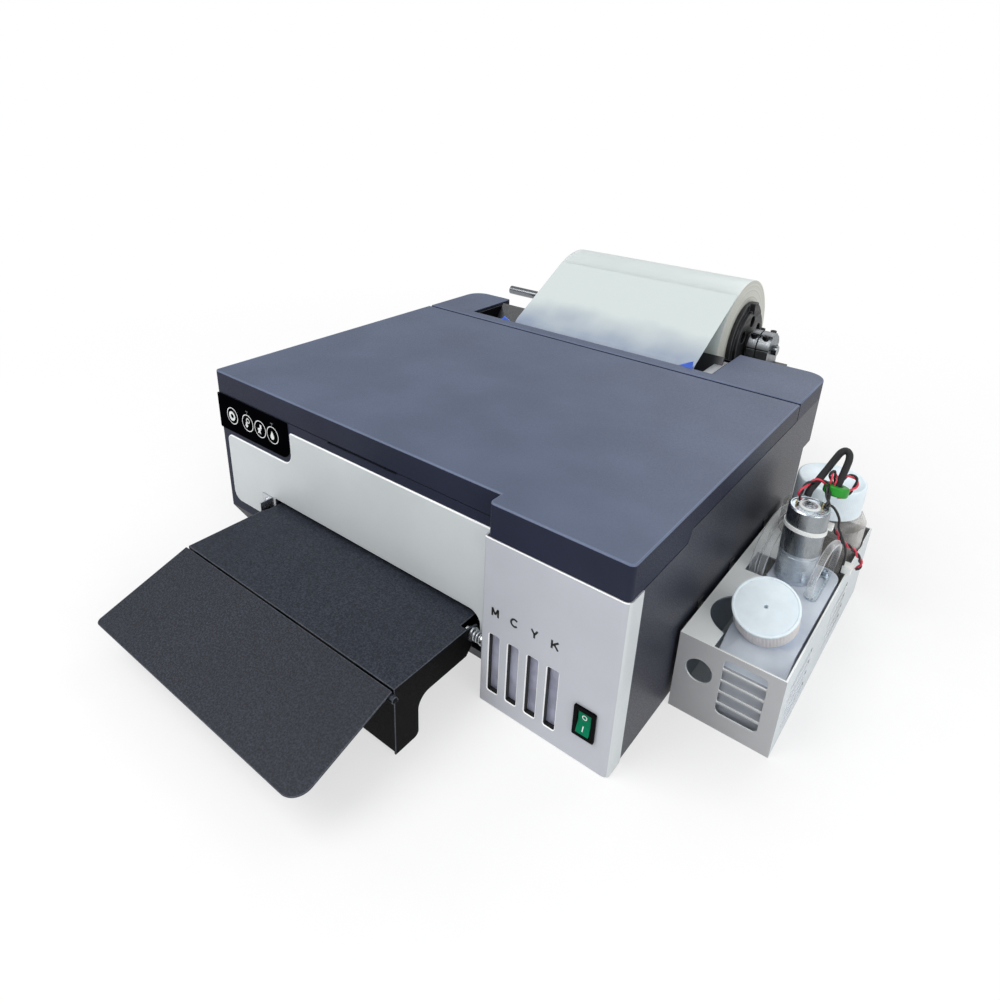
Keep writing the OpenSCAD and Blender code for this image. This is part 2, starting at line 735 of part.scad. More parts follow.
module side_box() color(light_grey) in_place() difference() {
    union() {
        difference() {
            block([box_x0, box_y0, 0], [box_x1, box_y1, box_h]);
            block([box_x0 + sheet, box_y0 + sheet, floor_z],
                [box_x1 - sheet, box_y1 - sheet, box_h + bite]);
        }
        // Folded top strip beside the casing
        block([box_x0, box_y0, box_h - sheet], [tank_x0 - air, box_y1, box_h]);
    }
    // Arc cut for the tank's cap and notches for the tubes and the bottle
    rod_z(235, 108.5, box_h - 2 * sheet, box_h + bite, 25);
    block([212.5, 162, box_h - 2 * sheet], [tank_x0 + bite, 190, box_h + bite]);
    rod_z(bottle_x, bottle_y, box_h - 2 * sheet, box_h + bite, bottle_r + 1);
    // Front: round hole and louvre slots
    rod_y(220.6, box_y0 - bite, box_y0 + sheet + bite, 39.3, 9);
    along_y(box_y0 - bite, box_y0 + sheet + bite) for (i = [0:4])
        plate([235, 13.4 + i * 9.2], [263, 21.4 + i * 9.2],
            i == 0 ? [4, 4, 0.8, 0.8] : i == 4 ? [0.8, 0.8, 4, 4] : [0.8, 0.8, 0.8, 0.8]);
    // Outer side: two groups of louvre slots
    for (y = [85, 177]) for (z = [10, 20, 30, 40])
        along_x(box_x1 - sheet - bite, box_x1 + bite)
            plate([y, z], [y + 48, z + 6], [2.8, 2.8, 2.8, 2.8]);
}

module box_clips() color(soft_black) in_place() for (y = [100, 158, 232]) {
    block([hw, y, 50], [box_x0, y + 9, 61]);
    block([hw, y, 61], [hw + 1, y + 9, 66]);
}

module tank_outline(inset) {
    plate([tank_x0 + inset, tank_y0 + inset], [tank_x1 - inset, tank_y1 - inset],
        [3, 3, 12 - inset, 4]);
}

// Places something on the tilted axis of the tank's neck
module on_neck() {
    translate([neck_x, neck_y, neck_z]) rotate([neck_tilt, 0, 0]) children();
}

// Body of the tank, with a sloping shoulder square to the neck
module tank_body(inset) {
    difference() {
        along_z(floor_z + inset, tank_top - inset) tank_outline(inset);
        on_neck() translate([-40, -60, shoulder - inset]) cube([80, 120, 60]);
    }
}

module white_ink_tank() color("#dfe3f0") in_place() difference() {
    union() {
        tank_body(0);
        on_neck() translate([0, 0, -4]) cylinder(r = neck_r, h = neck_l + 4);
        // Collar that carries the neck down to the tank's top
        on_neck() translate([0, 0, -24]) cylinder(r = neck_r + 0.8, h = 24 + shoulder - 1);
    }
    tank_body(tank_wall);
    on_neck() translate([0, 0, -24.5]) cylinder(r = neck_r - tank_wall, h = neck_l + 25.5);
    // Hole for the stirring shaft
    rod_z(motor_x, motor_y, tank_top - 2 * tank_wall, tank_top + bite, 5);
}

module tank_cap() color(natural_plastic) in_place() on_neck()
    translate([0, 0, neck_l - cap_h + 2.3]) difference() {
        union() {
            cylinder(r = cap_r - 0.6, h = cap_h - 1.5);
            for (a = [0:10:350]) rotate(a) translate([cap_r - 0.8, 0, 0])
                cylinder(r = 0.8, h = cap_h - 2.5, $fn = 16);
            translate([0, 0, cap_h - 1.6]) cylinder(r = cap_r - 0.2, h = 1.2);
        }
        translate([0, 0, -bite]) cylinder(r = neck_r + air, h = cap_h - 1);
        cylinder(r = 1, h = cap_h + bite);
    }

module clear_bottle() color(clear) in_place() translate([bottle_x, bottle_y, 0])
    rotate_extrude() {
        outer = bottle_r;
        inner = bottle_r - 1.2;
        neck = bottle_neck_r;
        z0 = floor_z;
        polygon([[0, z0], [outer - 2, z0], [outer, z0 + 2], [outer, bottle_h - 6],
            [outer - 2.5, bottle_h - 2], [neck, bottle_h], [neck, bottle_h + 18],
            [neck - 1.4, bottle_h + 18], [neck - 1.4, bottle_h - 1], [inner - 2.5, bottle_h - 3.4],
            [inner, bottle_h - 7], [inner, z0 + 3], [inner - 2, z0 + 1.4], [0, z0 + 1.4]]);
    }

module bottle_cap() color(natural_plastic) in_place()
    translate([bottle_x, bottle_y, bottle_h + 1]) difference() {
        union() {
            cylinder(r = bottle_cap_r - 0.6, h = bottle_cap_h - 1);
            for (a = [0:6:354]) rotate(a) translate([bottle_cap_r - 0.7, 0, 0])
                cylinder(r = 0.7, h = bottle_cap_h - 2, $fn = 16);
            translate([0, 0, bottle_cap_h - 1.2]) cylinder(r = bottle_cap_r - 1, h = 1.2);
        }
        translate([0, 0, -bite]) cylinder(r = bottle_neck_r + air, h = bottle_cap_h - 3 + bite);
    }

module stir_motor() color(bright_steel) in_place() difference() {
    translate([motor_x, motor_y, 0]) rotate_extrude() {
        z0 = tank_top;
        r = motor_r;
        polygon([[0, z0 + 2], [6, z0 + 2], [6, z0], [r - 1.5, z0], [r - 1.5, z0 + 3],
            [r - 0.4, z0 + 3], [r - 0.4, z0 + 21], [r, z0 + 21], [r, z0 + 22.4],
            [r - 0.5, z0 + 22.4], [r - 0.5, z0 + 25], [r, z0 + 25], [r, motor_top - 2],
            [r - 1, motor_top - 1], [r - 2, motor_top - 1], [r - 2, motor_top - 1.6],
            [5, motor_top - 1.6], [5, motor_top], [0, motor_top]]);
    }
    rod_z(motor_x, motor_y, tank_top - bite, tank_top + 12, 2 + run);
}

module stir_shaft() color(bright_steel) in_place() {
    rod_z(motor_x, motor_y, 12, tank_top + 11, 2);
    difference() {
        block([motor_x - 13, motor_y - 2.5, 8], [motor_x + 13, motor_y + 2.5, 16]);
        for (s = [-1, 1]) rod_y(motor_x + s * 8, motor_y - 4, motor_y + 4, 12, 2.4);
    }
}

// Slotted plate that ties the motor to the tank, with its screw at the far end
module motor_bracket() color(bright_steel) in_place() {
    x0 = motor_x + motor_r + 0.4;
    difference() {
        along_z(tank_top, tank_top + 1.2)
            plate([x0, 156], [x0 + 7.4, 201], [3.6, 3.6, 3.6, 3.6]);
        along_z(tank_top - bite, tank_top + 1.2 + bite)
            plate([x0 + 1.5, 167], [x0 + 5.9, 190], [2.1, 2.1, 2.1, 2.1]);
    }
    difference() {
        rod_z(x0 + 3.7, 195.5, tank_top + 1.2, tank_top + 3.4, 3);
        rod_z(x0 + 3.7, 195.5, tank_top + 2.4, tank_top + 4, 1.5);
    }
}

module ink_tubes() color(clear) in_place() {
    sweep(tube_left_a, 5);
    sweep(tube_left_b, 5);
    sweep(tube_right, 5);
    // Elbow of the right tube on the tank
    rod_z(tube_right[0][0], tube_right[0][1], tank_top + 1.2, tube_right[0][2], 3.2);
}

module motor_cable() color(soft_black) in_place() sweep(cable_route, 5, 10, cable_side);

module ferrite_ring() color("#2e8a2c") in_place()
    translate(cable_route[len(cable_route) - 1]) rotate([-14, 3, 0]) rotate_extrude()
        plate([3.2, -3.6], [8.6, 3.6], [1.5, 1.5, 1.5, 1.5]);

module motor_wires() color("#d8334a") in_place() sweep(wire_route, 3.4);

module wire_connector() color(natural_plastic) in_place() {
    e = wire_route[len(wire_route) - 1];
    difference() {
        block([e[0] - 8.4, e[1] - 4.5, box_h + 0.2], [e[0] - 2, e[1] + 4, e[2] + 1.6]);
        for (y = [e[1] - 2.6, e[1] + 1.2])
            block([e[0] - 9, y - 0.9, e[2] - 1.8], [e[0] - 4, y + 0.9, e[2] + 0.4]);
    }
}

// ---------------------------------------------------------------- film roll

module film_roll() color(film_white) in_place() difference() {
    rod_x(roll_x0, roll_x1, roll_y, roll_z, roll_r);
    rod_x(roll_x0 - bite, roll_x1 + bite, roll_y, roll_z, core_d / 2);
}

module roll_core() color("#c9b48f") in_place() difference() {
    rod_x(roll_x0 - 0.5, roll_x1 + 0.5, roll_y, roll_z, core_d / 2);
    rod_x(roll_x0 - 2, roll_x1 + 2, roll_y, roll_z, core_d / 2 - 3);
}

module roll_spindle() color(bright_steel) in_place()
    rod_x(spindle_x0, spindle_x1, roll_y, roll_z, spindle_d / 2);

// Flanged hub with its plug in the core; s is -1 on the left, +1 on the right
module roll_hub(s) {
    x0 = s > 0 ? roll_x1 + 0.5 : -roll_x0 + 0.5;
    mirror([s > 0 ? 0 : 1, 0, 0]) difference() {
        union() {
            rod_x(x0, x0 + 4, roll_y, roll_z, hub_r);
            rod_x(x0 - 15, x0, roll_y, roll_z, core_d / 2 - 3);
            rod_x(x0 + 4, x0 + 7.5, roll_y, roll_z, disc_r);
            rod_x(x0 + 7.5, x0 + 9.5, roll_y, roll_z, 12);
            // Locking lever at the rim
            block([x0 + 4, roll_y - 6, roll_z + 33], [x0 + 9.5, roll_y + 3, roll_z + 44]);
        }
        rod_x(x0 - 16, x0 + 10, roll_y, roll_z, spindle_d / 2);
        for (a = [0:60:300]) translate([0, roll_y, roll_z]) rotate([a + 30, 0, 0])
            rod_x(x0 - 16, x0 + 10, 24, 0, 6);
    }
}

module roll_hubs() color(soft_black) in_place() {
    roll_hub(1);
    roll_hub(-1);
}

// Split clamp block on a shelf
module bearing_block(x0, x1) {
    difference() {
        union() {
            rod_x(x0, x1, roll_y, roll_z, block_r);
            block([x0, roll_y - block_r, shelf_z], [x1, roll_y + block_r, roll_z]);
        }
        rod_x(x0 - bite, x1 + bite, roll_y, roll_z, spindle_d / 2 + run);
        // Split line and flats under the screw heads
        block([x0 - bite, roll_y - 20, roll_z + 1.5], [x1 + bite, roll_y - 7, roll_z + 2.7]);
        block([x0 - bite, roll_y + 7, roll_z + 1.5], [x1 + bite, roll_y + 20, roll_z + 2.7]);
        for (y = [roll_y - 20, roll_y + 7.5])
            block([x0 - bite, y, roll_z + 12.5], [x1 + bite, y + 12.5, roll_z + 20]);
    }
}

module bearing_blocks() color(bright_steel) in_place() {
    bearing_block(113, 121.4);
    bearing_block(122.6, 134.4);
    bearing_block(-134.4, -122.6);
}

// Bent plate from the casing's rear to the shelf under the bearing blocks
module roll_bracket(x0, x1, web_x) {
    difference() {
        block([x0, body_d, ledge_z + 3], [x1, bracket_y, shelf_z]);
        for (x = [x0 + 4, x1 - 4], z = [108, 128]) rod_y(x, body_d - bite, bracket_y + bite, z, 2);
    }
    block([x0, body_d, shelf_z - 3], [x1, roll_y + block_r, shelf_z]);
    along_x(web_x, web_x + 3)
        polygon([[bracket_y, ledge_z + 3], [bracket_y + 22, ledge_z + 5],
            [roll_y + block_r, shelf_z - 12], [roll_y + block_r, shelf_z - 3],
            [bracket_y, shelf_z - 3]]);
}

module roll_brackets() color(coated_black) in_place() {
    roll_bracket(112.5, 146.6, 140);
    roll_bracket(-150, -118, -147);
}

// Film from the roll over the edge of the slot and down to the rollers
module film_web() color(film_white) in_place() {
    dy = roll_y - film_y;
    dz = roll_z - film_bend_z;
    reach = norm([dy, dz]);
    slope = atan2(dz, dy) + asin((roll_r + air + film_t / 2) / reach);
    run_l = sqrt(pow(reach, 2) - pow(roll_r + air + film_t / 2, 2));
    top = [film_y + run_l * cos(slope), film_bend_z + run_l * sin(slope)];
    bend = [for (a = [0:15:60]) [film_y + 12 - 12 * cos(a), film_bend_z - 8 + 14 * sin(a)]];
    sag = [for (a = [0:10:90])
        [film_y - 60 + 60 * cos(a), film_z + film_t / 2 + 40 - 40 * sin(a)]];
    path = concat([top], [for (i = [len(bend) - 1:-1:0]) bend[i]], sag,
        [[feed_y - 45, film_z + film_t / 2]]);
    n = len(path);
    normals = [for (i = [0:n - 1])
        let (t = unit(path[min(i + 1, n - 1)] - path[max(i - 1, 0)])) [-t[1], t[0]]];
    along_x(roll_x0 + 0.5, roll_x1 - 0.5)
        polygon(concat([for (i = [0:n - 1]) path[i] + normals[i] * film_t / 2],
            [for (i = [n - 1:-1:0]) path[i] - normals[i] * film_t / 2]));
}

// ---------------------------------------------------------------- feed well

module feed_well() color(soft_black) in_place() difference() {
    well_body();
    // Hollow that the film roll turns in
    rod_x(roll_x0 - 3, roll_x1 + 3, roll_y, roll_z, roll_r + 2);
}

module well_body() {
    floor_z1 = ledge_z + wall;
    x0 = well_x0 + well_gap;
    x1 = well_x1 - well_gap;
    y1 = body_d - 0.8;
    for (x = [x0, x1 - well_wall]) along_x(x, x + well_wall)
        polygon([[well_y + well_gap, 96], [well_y + well_gap, 155], [330, 155], [y1, 151],
            [y1, floor_z1], [rear_low_y - 4, floor_z1], [314, 82], [296, 82]]);
    // Front, rear and sloping floor
    block([x0, well_y + well_gap, 104], [x1, well_y + well_gap + 1.8, 155]);
    block([x0, y1 - well_wall, floor_z1], [x1, y1, 151]);
    along_x(x0, x1)
        polygon([[y1, floor_z1], [y1, floor_z1 + wall], [rear_low_y - 6, floor_z1 + wall],
            [311, 85], [296, 85], [296, 82.5], [313, 82.5], [rear_low_y - 4, floor_z1]]);
    // Light strip along the right cheek
    block([x1 - well_wall - 6, well_y + 6, 148], [x1 - well_wall, body_d - 8, 150]);
}

// Frame of the sloping plate the film edge guides run on; y runs up the slope
module on_slope() {
    translate([0, plate_y0, plate_z0]) rotate([plate_dir, 0, 0]) children();
}

module support_plate() color(soft_black) in_place() on_slope() difference() {
    block([well_x0 + well_gap + well_wall, 0, -2.5],
        [well_x1 - well_gap - well_wall - 6.2, plate_l, 0]);
    for (x = [-92, -52, -12, 28, 68]) along_z(-4, 1)
        plate([x, 16], [x + 22, 58], [2, 2, 2, 2]);
}

// Edge guide: foot on the plate and a fin beside the film; s points away from the film
module edge_guide(x, s) {
    on_slope() {
        block([min(x, x + 5 * s), 24, air], [max(x, x + 5 * s), 66, 2]);
        along_x(min(x, x + 2 * s), max(x, x + 2 * s))
            polygon([[26, air], [66, air], [66, 10], [58, 17], [46, 17], [30, 6]]);
    }
}

module guide_left() color("#5f86f0") in_place() edge_guide(-110, -1);
module guide_right() color("#5f86f0") in_place() edge_guide(103, 1);

// ---------------------------------------------------------------- print engine

module main_frame() color(bright_steel) in_place() {
    for (x = [-plate_x - plate_t, plate_x]) difference() {
        along_x(x, x + plate_t)
            polygon([[80, pan_top], [250, pan_top], [250, 70], [215, 122], [90, 122], [80, 110]]);
        rod_x(x - bite, x + plate_t + bite, feed_y, feed_z, 4 + run);
        rod_x(x - bite, x + plate_t + bite, feed_y, pinch_z, 1.5 + run);
        rod_x(x - bite, x + plate_t + bite, rail_y, rail_z, rail_d / 2);
        if (x < 0) rod_x(x - bite, x + plate_t + bite, pinion_y, pinion_z, 1.5 + run);
    }
    difference() {
        block([-plate_x, back_y, 78], [plate_x, back_y + 2, 124]);
        for (x = [-pulley_x, pulley_x]) rod_y(x, back_y - bite, back_y + 3, pulley_z, 1.5 + run);
    }
    // Carriage rail, a ground rod held in the two side plates
    rod_x(-plate_x - plate_t, plate_x + plate_t, rail_y, rail_z, rail_d / 2);
}

module platen() color(soft_black) in_place() {
    block([-platen_x, 84, 49], [platen_x, 188, 52]);
    for (x = [-102:17:102]) block([x - 1, 84, 52], [x + 1, 188, film_z - 0.3]);
    for (x = [-platen_x, platen_x - 3]) block([x, 96, pan_top], [x + 3, 176, 49]);
}

module feed_roller() color("#55585c") in_place() {
    rod_x(-108, 108, feed_y, feed_z, feed_r - 0.02);
    rod_x(gear_x0, plate_x + plate_t + 3, feed_y, feed_z, 4);
}

module feed_gear() color("#e9e6da") in_place() difference() {
    along_x(gear_x0, gear_x0 + gear_w) translate([feed_y, feed_z]) rotate(gear_dir)
        gear_outline(feed_teeth, gear_r);
    rod_x(gear_x0 - bite, gear_x0 + gear_w + bite, feed_y, feed_z, 4);
    for (a = [0:60:300]) translate([0, feed_y, feed_z]) rotate([a, 0, 0])
        rod_x(gear_x0 - bite, gear_x0 + gear_w + bite, 13.5, 0, 4);
}

module motor_pinion() color("#e0c070") in_place() {
    along_x(gear_x0 - 1, gear_x0 + gear_w + 1) translate([pinion_y, pinion_z])
        rotate(gear_dir + 180 + 180 / pinion_teeth) gear_outline(pinion_teeth, pinion_r);
    rod_x(gear_x0 + gear_w + 1, 12 - plate_x, pinion_y, pinion_z, 1.5);
}

module feed_motor() color(bright_steel) in_place() difference() {
    rod_x(-plate_x, 36 - plate_x, pinion_y, pinion_z, 14);
    rod_x(-plate_x - bite, 13 - plate_x, pinion_y, pinion_z, 1.5 + run);
}

module pinch_rollers() color(soft_black) in_place() {
    rod_x(-plate_x - plate_t - 1, plate_x + plate_t + 1, feed_y, pinch_z, 1.5);
    for (x = [-90, -45, 0, 45, 90]) rod_x(x - 9, x + 9, feed_y, pinch_z, pinch_r);
}

module print_carriage() color(soft_black) in_place() {
    x0 = carriage_x - carriage_w / 2;
    x1 = carriage_x + carriage_w / 2;
    difference() {
        block([x0, 90, 59], [x1, 158, 124]);
        rod_x(x0 - bite, x1 + bite, rail_y, rail_z, rail_d / 2 + run);
        // Five bays for the ink dampers
        for (i = [0:4]) block([x0 + 4 + i * 14, 95, 84], [x0 + 15.5 + i * 14, 132, 124 + bite]);
    }
    // Print head under the carriage and the jaws on the belt
    block([x0 + 18, 98, 57.3], [x1 - 18, 136, 59]);
    for (z = [belt_low - 2.3, belt_low + 1.3])
        block([carriage_x - 6, 158, z], [carriage_x + 6, belt_y + belt_w, z + 1.7]);
}

module drive_belt() color(soft_black) in_place() along_y(belt_y, belt_y + belt_w) difference() {
    belt_loop(pulley_r + 1.3);
    belt_loop(pulley_r + 0.3);
}

module belt_loop(r) {
    for (x = [-pulley_x, pulley_x]) translate([x, pulley_z]) circle(r);
    translate([-pulley_x, pulley_z - r]) square([2 * pulley_x, 2 * r]);
}

module drive_pulley() color("#e0c070") in_place() {
    rod_y(-pulley_x, belt_y, belt_y + belt_w, pulley_z, pulley_r);
    rod_y(-pulley_x, belt_y + belt_w, back_y + 14, pulley_z, 1.5);
}

module idler_pulley() color("#e0c070") in_place() {
    rod_y(pulley_x, belt_y, belt_y + belt_w, pulley_z, pulley_r);
    rod_y(pulley_x, belt_y + belt_w, back_y + 4, pulley_z, 1.5);
}

module carriage_motor() color(bright_steel) in_place() difference() {
    rod_y(-pulley_x, back_y + 2, back_y + 36, pulley_z, 12.5);
    rod_y(-pulley_x, back_y + 1, back_y + 15, pulley_z, 1.5 + run);
}

module capping_station() color(soft_black) in_place() difference() {
    block([carriage_x - 21, 94, pan_top], [carriage_x + 30, 140, 56.4]);
    block([carriage_x - 17, 98, 50], [carriage_x + 22, 136, 58]);
}

// Main board on its stand-offs, and the enclosed power supply beside it
module electronics() color("#2f6b46") in_place() {
    block([-70, 228, pan_top + 6], [60, 308, pan_top + 7.6]);
    for (x = [-66, 56], y = [232, 304]) rod_z(x, y, pan_top, pan_top + 6, 3);
    for (x = [-50, -10, 30]) block([x, 250, pan_top + 7.6], [x + 22, 272, pan_top + 10]);
    block([-60, 296, pan_top + 7.6], [20, 304, pan_top + 15]);
    block([84, 236, pan_top], [160, rear_low_y - 22, 42]);
}

// Mains inlet with its three pins
module mains_inlet() color(soft_black) in_place() {
    difference() {
        union() {
            block([132, rear_low_y, 16], [168, rear_low_y + 2.5, 44]);
            block([137, rear_low_y - 18, 20.5], [163, rear_low_y, 39.5]);
        }
        block([140, rear_low_y - 14, 23], [160, rear_low_y + 4, 37]);
    }
    for (p = [[143.5, 28], [150, 32], [156.5, 28]])
        block([p[0] - 1, rear_low_y - 15, p[1] - 2], [p[0] + 1, rear_low_y, p[1] + 2]);
}

base_pan();
feet();
body_shell();
rear_cover();
lid();
lid_hinge_pins();
front_panel();
tank_panel();
control_panel();
button_1();
button_2();
button_3();
button_4();
switch_bezel();
switch_rocker();
ink_tanks();
tray();
tray_flap();
flap_hinge_pin();
fixing_screws();
side_box();
box_clips();
white_ink_tank();
tank_cap();
clear_bottle();
bottle_cap();
stir_motor();
stir_shaft();
motor_bracket();
ink_tubes();
motor_cable();
ferrite_ring();
motor_wires();
wire_connector();
film_roll();
roll_core();
roll_spindle();
roll_hubs();
bearing_blocks();
roll_brackets();
film_web();
feed_well();
support_plate();
guide_left();
guide_right();
main_frame();
platen();
feed_roller();
feed_gear();
feed_motor();
motor_pinion();
pinch_rollers();
print_carriage();
drive_belt();
drive_pulley();
idler_pulley();
carriage_motor();
capping_station();
electronics();
mains_inlet();
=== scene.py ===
"""Looks of the desktop film printer: finishes, small fittings, leads, and its stage."""

import json
import math

import bmesh
import bpy
from bpy.props import FloatProperty, FloatVectorProperty, PointerProperty
from mathutils import Matrix, Vector

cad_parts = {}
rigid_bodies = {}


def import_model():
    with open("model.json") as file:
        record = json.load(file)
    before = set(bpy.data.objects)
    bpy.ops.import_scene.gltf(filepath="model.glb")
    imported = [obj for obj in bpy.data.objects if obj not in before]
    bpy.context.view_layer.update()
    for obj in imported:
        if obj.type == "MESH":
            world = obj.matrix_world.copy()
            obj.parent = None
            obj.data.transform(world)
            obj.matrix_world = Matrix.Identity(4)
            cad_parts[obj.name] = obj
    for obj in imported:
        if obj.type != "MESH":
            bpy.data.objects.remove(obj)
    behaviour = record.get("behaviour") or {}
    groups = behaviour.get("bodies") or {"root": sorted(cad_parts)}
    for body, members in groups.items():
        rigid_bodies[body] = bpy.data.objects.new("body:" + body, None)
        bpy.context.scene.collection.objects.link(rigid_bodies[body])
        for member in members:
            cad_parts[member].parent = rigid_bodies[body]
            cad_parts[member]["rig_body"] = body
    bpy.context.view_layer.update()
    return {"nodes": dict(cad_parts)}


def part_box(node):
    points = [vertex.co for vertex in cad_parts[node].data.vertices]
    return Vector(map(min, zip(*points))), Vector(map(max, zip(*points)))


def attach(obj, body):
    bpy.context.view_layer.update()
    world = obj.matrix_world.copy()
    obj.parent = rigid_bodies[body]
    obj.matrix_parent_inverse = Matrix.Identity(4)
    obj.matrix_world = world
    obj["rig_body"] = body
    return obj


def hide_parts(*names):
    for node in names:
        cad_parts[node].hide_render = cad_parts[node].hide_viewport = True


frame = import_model()

bl_info = {
    "name": "Desktop Film Printer",
    "version": (1, 0, 0),
    "blender": (4, 5, 0),
    "location": "View3D > Sidebar > Film Printer",
    "description": "Builds the finishes and small fittings of a desktop film printer",
    "category": "Object",
}

MM = 0.001
CASING_DEPTH = 353 * MM
COVER_LOW, COVER_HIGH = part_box("rear_cover")
# Middle of the casing's front face on the table
FRONT = Vector(((COVER_LOW.x + COVER_HIGH.x) / 2, COVER_HIGH.y - CASING_DEPTH, 0))
# Middle of the first ink window from the tanks' left side, and from one window to the next
FIRST_WINDOW = 6.5 * MM
WINDOW_PITCH = 15.1 * MM


def at(x, y, z):
    """A point given in millimetres from the middle of the casing's front face, in the frame."""
    return FRONT + Vector((x, y, z)) * MM


def route(points):
    """Points of a route given in the same way."""
    return [at(*p) for p in points]


def srgb(code):
    """Turns a hex colour into the linear colour that shaders take."""
    parts = [int(code[i : i + 2], 16) / 255 for i in (1, 3, 5)]
    return [c / 12.92 if c <= 0.04045 else ((c + 0.055) / 1.055) ** 2.4 for c in parts] + [1.0]


# ---------------------------------------------------------------- settings


def colour_setting(name, description, code):
    return FloatVectorProperty(
        name=name, description=description, subtype="COLOR", size=4, min=0, max=1,
        default=srgb(code),
    )


def length_setting(name, description, millimetres):
    return FloatProperty(
        name=name, description=description, subtype="DISTANCE", unit="LENGTH",
        default=millimetres * MM,
    )


class CasingSettings(bpy.types.PropertyGroup):
    slate: colour_setting("Lid top", "Colour of the lid's and the rear cover's top", "#525c72")
    charcoal: colour_setting("Casing", "Colour of the casing's sides and inner faces", "#2d303c")
    panel: colour_setting(
        "Sheet panels", "Colour of the powder coat on the front and on the tank panel's side",
        "#ccd2d4",
    )
    moulded_edge: length_setting("Moulded edge", "Radius on the top edges of the covers", 1.1)
    sheet_edge: length_setting("Sheet edge", "Radius on the edges of the coated sheet metal", 0.5)


class MarkSettings(bpy.types.PropertyGroup):
    ring: length_setting("Button ring", "Outer diameter of the ring around a button", 15.4)
    line: length_setting("Line", "Width of a printed line", 0.75)
    letter: length_setting("Letter height", "Height of the letters above the windows", 6.2)


class LeadSettings(bpy.types.PropertyGroup):
    red: colour_setting("Red lead", "Colour of the red lead's insulation", "#d8334a")
    wire: length_setting("Lead diameter", "Diameter of one insulated lead", 1.6)
    twist: length_setting("Twist", "Length of one turn of the twisted pair", 11)
    tube: length_setting("Ink tube", "Outer diameter of the clear ink tubes", 5)


class FilmSettings(bpy.types.PropertyGroup):
    film: colour_setting("Film", "Colour of the film", "#cdd6d5")
    ring: length_setting("Winding", "Spacing of the winding marks on the roll's end", 1.6)


class StageSettings(bpy.types.PropertyGroup):
    lens: FloatProperty(
        name="Lens", description="Focal length in millimetres", default=25.859
    )
    key: FloatProperty(
        name="Key lamp", description="Power of the key lamp", unit="POWER", default=26
    )
    fill: FloatProperty(
        name="Fill lamp", description="Power of the fill lamp", unit="POWER", default=9
    )
    world: FloatProperty(
        name="Surroundings", description="Strength of the even light all round", default=0.5
    )


# ---------------------------------------------------------------- material helpers


def add_node(tree, kind, inputs=None, **settings):
    """Adds a node with its settings; an input is a value or the socket that feeds it."""
    node = tree.nodes.new(kind)
    for key, value in settings.items():
        setattr(node, key, value)
    for key, value in (inputs or {}).items():
        if isinstance(value, bpy.types.NodeSocket):
            tree.links.new(value, node.inputs[key])
        else:
            node.inputs[key].default_value = value
    return node


def new_finish(name, **values):
    """A material with one shader; values are the shader's sockets, with _ for a space."""
    material = bpy.data.materials.new(name)
    material.use_nodes = True
    tree = material.node_tree
    tree.nodes.clear()
    sockets = {key.replace("_", " "): value for key, value in values.items()}
    shader = add_node(tree, "ShaderNodeBsdfPrincipled", sockets)
    add_node(tree, "ShaderNodeOutputMaterial", {"Surface": shader.outputs[0]})
    return material, tree, shader


def object_point(tree):
    """The point of a surface, fixed to its piece."""
    return add_node(tree, "ShaderNodeTexCoord").outputs["Object"]


def grain(tree, size, detail=2.0, stretch=(1, 1, 1), roughness=0.5):
    """Irregular pattern with features of about size metres, fixed to the piece."""
    place = object_point(tree)
    scale = [1 / (size * s) for s in stretch]
    scaled = add_node(tree, "ShaderNodeMapping", {"Vector": place, "Scale": scale})
    inputs = {"Vector": scaled.outputs[0], "Scale": 1.0, "Detail": detail, "Roughness": roughness}
    return add_node(tree, "ShaderNodeTexNoise", inputs).outputs["Fac"]


def ramp(tree, pattern, low, high, spread=(0.35, 0.65)):
    """Runs from low to high, two colours or two numbers, over the pattern."""
    node = add_node(tree, "ShaderNodeValToRGB", {"Fac": pattern})
    for element, position, value in zip(node.color_ramp.elements, spread, (low, high)):
        element.position = position
        element.color = value if hasattr(value, "__len__") else (value, value, value, 1)
    return node.outputs["Color"]


def vary(tree, shader, socket, *run):
    """Feeds a socket of the shader from a ramp."""
    tree.links.new(ramp(tree, *run), shader.inputs[socket])


def emboss(tree, shader, pattern, depth):
    """Raises the surface by the pattern, depth metres high."""
    bump = add_node(tree, "ShaderNodeBump", {"Height": pattern, "Distance": depth, "Strength": 1.0})
    tree.links.new(bump.outputs[0], shader.inputs["Normal"])


def shade(colour, gain):
    return [min(c * gain, 1) for c in colour[:3]] + [1]


def finish(name, colour, tones, rough, depth, toned, rubbed=None, raised=None, **values):
    """A finish of one colour. Three grains, each (size in millimetres, detail, stretch), turn the
    colour between two tones of it, the roughness between two values, and raise the surface by
    depth millimetres. A grain that is left out is the first one again."""
    material, tree, shader = new_finish(name, **values)
    toned, rubbed, raised = (
        grain(tree, size * MM, *rest) for size, *rest in (toned, rubbed or toned, raised or toned)
    )
    vary(tree, shader, "Base Color", toned, shade(colour, tones[0]), shade(colour, tones[1]))
    vary(tree, shader, "Roughness", rubbed, *rough)
    if depth:
        emboss(tree, shader, raised, depth * MM)
    return material


# ---------------------------------------------------------------- finishes


def spark_textured_abs(name, colour, rough=0.5, gloss=0.3):
    """ABS moulded in a spark-eroded tool: even satin, with a fine leather-like grain that softens
    reflections. The real grain is about 0.2 mm; it is drawn at 0.9 mm, the finest that shows."""
    return finish(
        name, colour, (0.93, 1.07), (rough - 0.08, rough + 0.1), 0.05, (55,), (0.9, 3), (0.9, 3),
        IOR=1.54, Specular_IOR_Level=gloss,
    )


